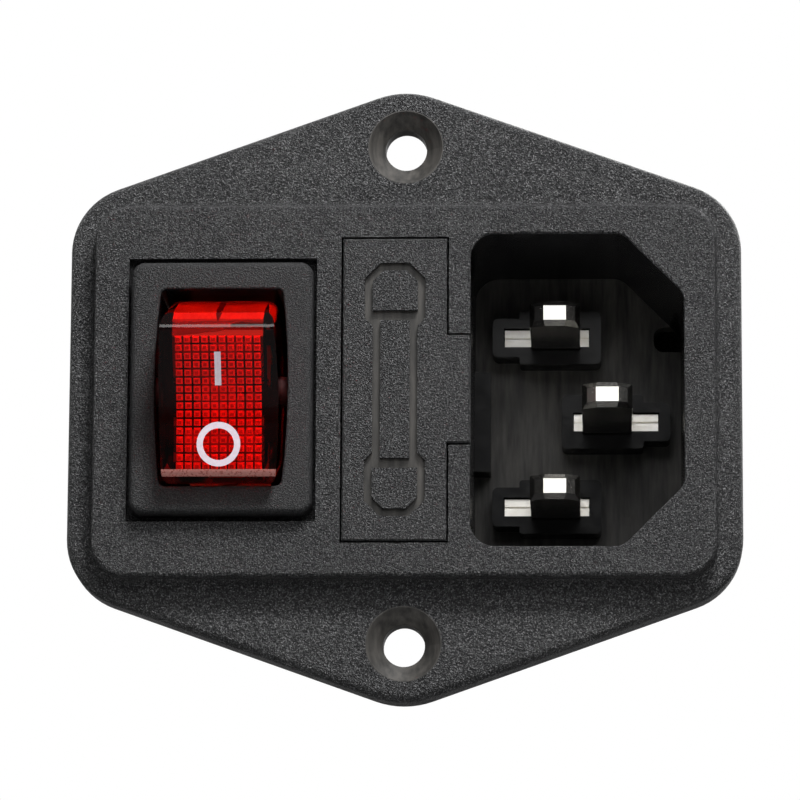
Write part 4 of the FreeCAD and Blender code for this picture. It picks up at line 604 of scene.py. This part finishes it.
def lens_cutter():
    """A field of square frusta, one to a lens cell. Each stands on the roof with a narrow land
    round it and tapers to a flat top inside the wall."""
    cells_x = (np.arange(LENS_COLUMNS) - (LENS_COLUMNS - 1) / 2) * LENS_PITCH
    cells_z = LENS_START + LENS_RISE * (np.arange(LENS_ROWS) + 0.5)
    grid_x, grid_z = np.meshgrid(cells_x, cells_z, indexing="ij")
    corners = np.array([(-1, -1), (1, -1), (1, 1), (-1, 1)]) / 2
    rings = []
    for size, lift in ((LENS_FOOT, -LENS_SINK), (LENS_TOP, LENS_DEPTH)):
        across = grid_x.reshape(-1, 1) + corners[:, 0] * size
        along = grid_z.reshape(-1, 1) + corners[:, 1] * size
        rings.append(np.stack([across, along, roof_height(along) + lift], -1))
    points = np.concatenate(rings, 1)
    block = np.array(
        [(0, 3, 2, 1), (4, 5, 6, 7), (0, 1, 5, 4), (1, 2, 6, 5), (2, 3, 7, 6), (3, 0, 4, 7)]
    )
    faces = (np.arange(len(points)).reshape(-1, 1, 1) * 8 + block).reshape(-1, 4)
    made = mesh_object("lens_cutter", rocker_to_row(points.reshape(-1, 3)), faces)
    turn_outward(made)
    return made


def cut_with(piece, cutter):
    """Cuts a closed mesh out of another for good."""
    modifier = piece.modifiers.new("cut", "BOOLEAN")
    modifier.operation = "DIFFERENCE"
    modifier.solver = "EXACT"
    modifier.object = cutter
    bpy.context.view_layer.update()
    graph = bpy.context.evaluated_depsgraph_get()
    cut = bpy.data.meshes.new_from_object(piece.evaluated_get(graph))
    piece.modifiers.clear()
    piece.data = cut
    bpy.data.objects.remove(cutter)


def clear_red():
    """Clear red acrylic, hardly rough, with a few fine handling marks."""
    material, tree, shader = new_material("clear_red")
    place, _ = object_axes(tree)
    marks = noise(tree, place, 0.5 * MM, detail=5.0, roughness=0.7, stretch=(1, 1, 0.35))
    shader.inputs["Base Color"].default_value = (0.91, 0.02, 0.010, 1)
    shader.inputs["Transmission Weight"].default_value = 1.0
    shader.inputs["IOR"].default_value = 1.49
    tree.links.new(ramp(tree, marks, 0.45, 0.75, 0.015, 0.06), shader.inputs["Roughness"])
    bump(tree, shader, marks, 0.004 * MM, 0.3)
    return material


def frosted_red(name, bright, deep, painted_glow=0.0, shade=None):
    """Faces left rough by the tool, which glow in the light that reaches them through the clear
    plastic. painted_glow is an emission strength: a painted glow for what a lens cell returns of
    the light that it gathers. shade makes a mask in the tree that is 1 where painted shade darkens
    the face."""
    material, tree, shader = new_material(name)
    place, axes = object_axes(tree)
    # Painted glow: an emission on faces that are no lamp.
    shader.inputs["Emission Color"].default_value = bright
    shader.inputs["Emission Strength"].default_value = painted_glow
    streaks = noise(tree, place, 0.25 * MM, detail=4.0, roughness=0.6, stretch=(1, 0.2, 0.2))
    tone = mix_colours(tree, ramp(tree, streaks, 0.35, 0.7), bright, deep)
    # Painted shade: a dark red where the shade mask holds.
    if shade:
        tone = mix_colours(tree, shade(tree, axes), tone, (0.10, 0.004, 0.004, 1))
    tree.links.new(tone, shader.inputs["Base Color"])
    tree.links.new(spread(tree, streaks, 0.4, 0.6), shader.inputs["Roughness"])
    bump(tree, shader, streaks, 0.02 * MM, 0.6)
    return material


def end_shade(tree, axes):
    """Painted shade on the end wall: dark near the roof, and in a thin wedge at its middle, as a
    rib behind it would leave, though no rib is modelled. The wedge's half width shrinks as it
    rises."""
    back = calculate(tree, "SUBTRACT", rocker_pivot.y, axes["Y"])
    down = calculate(tree, "SUBTRACT", rocker_pivot.z, axes["Z"])
    above = total(tree, product(tree, back, math.cos(TILT)), product(tree, down, math.sin(TILT)))
    near_roof = ramp(tree, above, *END_DARK_ABOVE)
    aside = calculate(tree, "ABSOLUTE", calculate(tree, "SUBTRACT", axes["X"], rocker_pivot.x))
    # Painted shade of a rib that isn't modelled.
    wedge_shade = calculate(tree, "LESS_THAN", aside, ramp(tree, above, *WEDGE_SHADE_ABOVE, *WEDGE_SHADE_HALF))
    return calculate(tree, "MAXIMUM", near_roof, wedge_shade)


def trunnion_red():
    """The trunnions turn in black sockets that no light reaches, so their clear red is painted
    near black as painted shade.
    """
    material, tree, shader = new_material("trunnion_red")
    place, _ = object_axes(tree)
    patches = noise(tree, place, 0.3 * MM, detail=3.0)
    # Painted shade: near-black reds for the trunnions.
    tone = mix_colours(tree, patches, (0.035, 0.003, 0.003, 1), (0.02, 0.003, 0.003, 1))
    tree.links.new(tone, shader.inputs["Base Color"])
    tree.links.new(spread(tree, patches, 0.6, 0.75), shader.inputs["Roughness"])
    shader.inputs["Specular IOR Level"].default_value = 0.15
    return material


def rubbed_highlight_red():
    """The lower ridge's round, its gloss dulled by rubbing, and its pale tone a painted highlight
    where the round would mirror the light in front.
    """
    material, tree, shader = new_material("rubbed_highlight_red")
    place, _ = object_axes(tree)
    patches = noise(tree, place, 0.22 * MM, detail=4.0, roughness=0.6)
    share = ramp(tree, patches, 0.25, 0.75)
    # Painted highlight: pale reds on the lower ridge's round.
    tone = mix_colours(tree, share, (0.26, 0.07, 0.055, 1), (0.36, 0.16, 0.14, 1))
    tree.links.new(tone, shader.inputs["Base Color"])
    shader.inputs["Transmission Weight"].default_value = 0.3
    tree.links.new(ramp(tree, share, 0, 1, 0.2, 0.4), shader.inputs["Roughness"])
    bump(tree, shader, patches, 0.006 * MM, 0.5)
    return material


CLEAR, END, RIDGE_HIGHLIGHT, CELL_SIDE, CELL_TOP, TRUNNION = range(6)


def face_finishes(mesh):
    """Which finish each face of the rocker has, from where its middle lies on the rocker."""
    centres = np.zeros(len(mesh.polygons) * 3)
    mesh.polygons.foreach_get("center", centres)
    across, along, above = row_to_rocker(centres.reshape(-1, 3)).T
    aside = np.abs(across)
    over_roof = above - roof_height(along)
    lens_end = LENS_START + LENS_RISE * LENS_ROWS
    in_field = (aside < LENS_PITCH * LENS_COLUMNS / 2) & (along > LENS_START) & (along < lens_end)
    in_cell = in_field & (over_roof > CELL_MARGIN) & (over_roof < LENS_DEPTH + LENS_SINK)
    on_top = in_cell & (over_roof > LENS_DEPTH - CELL_MARGIN)
    at_end = (aside < END_ASIDE) & (along > END_ALONG[0]) & (along < END_ALONG[1])
    at_end &= (above < END_ABOVE) & ~in_cell
    # The lower ridge's round, which takes the painted highlight.
    at_ridge_highlight = (np.abs(along + RIDGE_ALONG) < RIDGE_HIGHLIGHT_ALONG) & (above > RIDGE_HIGHLIGHT_ABOVE)
    at_trunnion = (aside > TRUNNION_ASIDE) & (np.hypot(along, above) < TRUNNION_REACH)
    places = [at_trunnion, on_top, in_cell, at_ridge_highlight, at_end]
    finishes = [TRUNNION, CELL_TOP, CELL_SIDE, RIDGE_HIGHLIGHT, END]
    return np.select(places, finishes, CLEAR).astype(np.int32)


rocker_shell = merged_copy("rocker", "rocker_shell")
cut_with(rocker_shell, lens_cutter())
for finish in (
    clear_red(),
    # The end wall's tone carries painted shade from end_shade.
    frosted_red("end_glow", (0.92, 0.26, 0.07, 1), (0.84, 0.16, 0.045, 1), shade=end_shade),
    rubbed_highlight_red(),
    # Lens cells: painted glow on the sides, by emission, and painted shade on the darker tops.
    frosted_red("lens_glow", (0.98, 0.05, 0.02, 1), (0.9, 0.03, 0.012, 1), painted_glow=0.16),
    frosted_red("lens_top", (0.62, 0.02, 0.012, 1), (0.5, 0.014, 0.01, 1), painted_glow=0.10),
    trunnion_red(),
):
    rocker_shell.data.materials.append(finish)
rocker_faces = rocker_shell.data.polygons
rocker_faces.foreach_set("material_index", face_finishes(rocker_shell.data))
rocker_faces.foreach_set("use_smooth", np.zeros(len(rocker_faces), bool))
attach(rocker_shell, "rocker_set")
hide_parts("rocker")

# The marks for on and off are white ink, printed on the rocker's dished face in a thin film: a bar
# at the upper end and a ring at the lower one.

MARK_LIFT = 0.03 * MM
MARK_SINK = 0.02 * MM
MARK_POINTS = 96
BAR_ALONG = 2.42 * MM
BAR_HALF = (0.25 * MM, 1.35 * MM)
BAR_SLIT_HALF = (0.005 * MM, 1.1 * MM)
RING_ALONG = -3.5 * MM
RING_OUTER = 1.71 * MM
RING_INNER = 1.22 * MM


def printed_mark(name, outline, hole, along_middle):
    """A thin printed film that follows the face: an outer and an inner loop of (across, along),
    joined by a strip on top, a strip below and the two edges between them."""
    levels = []
    for lift in (MARK_LIFT, -MARK_SINK):
        for loop in (outline, hole):
            along = loop[:, 1] + along_middle
            above = dished_height(along, RIDGE_ALONG, RIDGE_ABOVE) + lift
            levels.append(np.stack([loop[:, 0], along, above], -1))
    count = len(outline)
    here = np.arange(count)
    there = np.roll(here, -1)
    outer, inner, low_outer, low_inner = (
        (here + level * count, there + level * count) for level in range(4)
    )
    strips = ((outer, inner), (low_inner, low_outer), (low_outer, outer), (inner, low_inner))
    faces = np.concatenate([
        np.stack([first[0], first[1], second[1], second[0]], -1) for first, second in strips
    ])
    made = mesh_object(name, rocker_to_row(np.concatenate(levels)), faces)
    turn_outward(made)
    return made


def print_white():
    """White ink, slightly pink where the red shows through a thin coat."""
    material, tree, shader = new_material("print_white")
    place, _ = object_axes(tree)
    coat = noise(tree, place, 0.35 * MM, detail=4.0, roughness=0.6)
    share = ramp(tree, coat, 0.35, 0.75)
    tone = mix_colours(tree, share, (0.47, 0.41, 0.46, 1), (0.40, 0.33, 0.38, 1))
    tree.links.new(tone, shader.inputs["Base Color"])
    tree.links.new(spread(tree, coat, 0.4, 0.55), shader.inputs["Roughness"])
    return material


turn = np.linspace(0, 2 * math.pi, MARK_POINTS + 1)[:-1]
circle = np.stack([np.cos(turn), np.sin(turn)], -1)
square = circle / np.abs(circle).max(1, keepdims=True)
on_mark = printed_mark("on_mark", square * BAR_HALF, square * BAR_SLIT_HALF, BAR_ALONG)
off_mark = printed_mark("off_mark", circle * RING_OUTER, circle * RING_INNER, RING_ALONG)
white_ink = print_white()
for mark in (on_mark, off_mark):
    mark.data.materials.append(white_ink)
    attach(mark, "rocker_set")

# Inside the rocker a white moulded plunger rides on its spring. Beside it stand the neon lamp,
# blown in clear glass, and its resistor, a small rod dipped in tan paint.


def dull_plastic(name, first, second, roughness, pitch=0.6 * MM):
    """Plain moulded or painted stuff with a slight mottle."""
    material, tree, shader = new_material(name)
    place, _ = object_axes(tree)
    mottle = noise(tree, place, pitch, detail=4.0, roughness=0.6)
    tone = mix_colours(tree, ramp(tree, mottle, 0.35, 0.65), first, second)
    tree.links.new(tone, shader.inputs["Base Color"])
    rough = spread(tree, mottle, roughness, roughness + 0.12)
    tree.links.new(rough, shader.inputs["Roughness"])
    bump(tree, shader, mottle, 0.01 * MM, 0.5)
    return material


plunger_white = dull_plastic("plunger_white", (0.78, 0.76, 0.7, 1), (0.7, 0.68, 0.6, 1), 0.3)
paint(plunger_white, "plunger")
resistor_coat = dull_plastic("resistor_coat", (0.62, 0.48, 0.3, 1), (0.55, 0.4, 0.24, 1), 0.4)
paint(resistor_coat, "lamp_resistor")
paint(clear_glass("lamp_glass", (0.97, 0.95, 0.92, 1), 0.03), "neon_lamp")

# The room: a pale floor well below the part, a white surround, and three soft boxes. The large one
# in front and the one behind give an even light, and the small one above gives the front its fall
# of light from top to bottom.

DARK_SIDE = 0.05
LIGHT_BEHIND = 0.75
LIGHT_ABOVE = 0.14
LIGHT_THROUGH = 0.5
LIGHT_AROUND = 0.26
LIGHT_SEEN = 1.0
FLOOR_REACH = 3.0
FLOOR_LEVEL = -0.14
FLOOR_GLOW = 0.6


def surround():
    """White for the eye, a dim studio for reflections: dark low in front, paler above and behind,
    and a grey of its own for soft light and for what is seen through clear pieces."""
    world = bpy.data.worlds.new("surround")
    bpy.context.scene.world = world
    world.use_nodes = True
    tree = world.node_tree
    tree.nodes.clear()
    paths = tree.nodes.new("ShaderNodeLightPath")
    direction = tree.nodes.new("ShaderNodeTexCoord")
    parts = tree.nodes.new("ShaderNodeSeparateXYZ")
    tree.links.new(direction.outputs["Generated"], parts.inputs[0])
    behind = ramp(tree, parts.outputs["Y"], 0.0, 0.7, DARK_SIDE, LIGHT_BEHIND)
    above = ramp(tree, parts.outputs["Z"], 0.1, 0.8, DARK_SIDE, LIGHT_ABOVE)
    strength = calculate(tree, "MAXIMUM", behind, above)
    strength = product(tree, strength, paths.outputs["Is Glossy Ray"])
    for ray, level in (
        ("Is Transmission Ray", LIGHT_THROUGH),
        ("Is Diffuse Ray", LIGHT_AROUND),
        ("Is Camera Ray", LIGHT_SEEN),
    ):
        strength = calculate(tree, "MAXIMUM", strength, product(tree, paths.outputs[ray], level))
    background = tree.nodes.new("ShaderNodeBackground")
    background.inputs["Color"].default_value = (1, 1, 1, 1)
    tree.links.new(strength, background.inputs["Strength"])
    output = tree.nodes.new("ShaderNodeOutputWorld")
    tree.links.new(background.outputs[0], output.inputs["Surface"])


def soft_box(name, place, size, power, target=(0, 0, 0)):
    """A rectangular light that faces a target and isn't seen by the camera. Lengths in metres,
    power in watts."""
    light = bpy.data.lights.new(name, "AREA")
    light.shape = "RECTANGLE"
    light.size, light.size_y = size
    light.energy = power
    made = bpy.data.objects.new(name, light)
    made.location = place
    made.rotation_mode = "QUATERNION"
    made.rotation_quaternion = (Vector(target) - Vector(place)).to_track_quat("-Z", "Y")
    made.visible_camera = False
    bpy.context.scene.collection.objects.link(made)


def pale_floor():
    """A wide square floor in a plain pale tone, a hand's breadth under the part. It glows a little
    to the camera, and reflections see it dark."""
    corners = np.array([(-1, -1), (1, -1), (1, 1), (-1, 1)]) * FLOOR_REACH
    corners = np.column_stack([corners, np.full(4, FLOOR_LEVEL)])
    made = mesh_object("floor", corners, [(0, 1, 2, 3)])
    material, tree, shader = new_material("floor_paper")
    place, _ = object_axes(tree)
    cloud = noise(tree, place, 0.3)
    paper = mix_colours(tree, cloud, (0.82, 0.82, 0.82, 1), (0.86, 0.86, 0.855, 1))
    paths = tree.nodes.new("ShaderNodeLightPath")
    tone = mix_colours(tree, paths.outputs["Is Glossy Ray"], paper, (0.06, 0.06, 0.06, 1))
    tree.links.new(tone, shader.inputs["Base Color"])
    shader.inputs["Roughness"].default_value = 0.8
    shader.inputs["Emission Color"].default_value = (1, 1, 1, 1)
    glow = product(tree, paths.outputs["Is Camera Ray"], FLOOR_GLOW)
    tree.links.new(glow, shader.inputs["Emission Strength"])
    made.data.materials.append(material)


surround()
soft_box("front_box", (0.10, -0.44, 0.315), (0.56, 0.40), 2.4, target=(0, 0, 0.02))
soft_box("key_box", (0.05, -0.12, 0.20), (0.07, 0.04), 1.0)
soft_box("rear_box", (0.25, 0.5, 0.35), (0.4, 0.3), 2.2)
pale_floor()

# The camera stands below the part and a little to its right, as the photograph was taken, and is
# turned a hair about its own line. Its lens gives the photograph's scale at the two screw holes.

PIXELS = 800
PIXELS_PER_MM = 12.66
CAMERA_DISTANCE = 0.40
CAMERA_AZIMUTH = math.radians(2.3)
CAMERA_ELEVATION = math.radians(-11.0)
CAMERA_ROLL = math.radians(0.3)
AIM = Vector((-0.36 * MM, -3.0 * MM, -0.56 * MM))
camera_data = bpy.data.cameras.new("camera")
camera_data.sensor_width = 36
camera_data.lens = PIXELS_PER_MM / MM * camera_data.sensor_width * CAMERA_DISTANCE / PIXELS
camera_data.clip_start, camera_data.clip_end = 0.01, 20
camera = bpy.data.objects.new("camera", camera_data)
back = Vector((
    math.sin(CAMERA_AZIMUTH) * math.cos(CAMERA_ELEVATION),
    -math.cos(CAMERA_AZIMUTH) * math.cos(CAMERA_ELEVATION),
    math.sin(CAMERA_ELEVATION),
))
camera.location = AIM + back * CAMERA_DISTANCE
camera.rotation_mode = "QUATERNION"
camera.rotation_quaternion = (-back).to_track_quat("-Z", "Y") @ Quaternion(
    (0, 0, 1), CAMERA_ROLL
)
bpy.context.scene.collection.objects.link(camera)
bpy.context.scene.camera = camera
bpy.context.scene.view_settings.view_transform = "Standard"
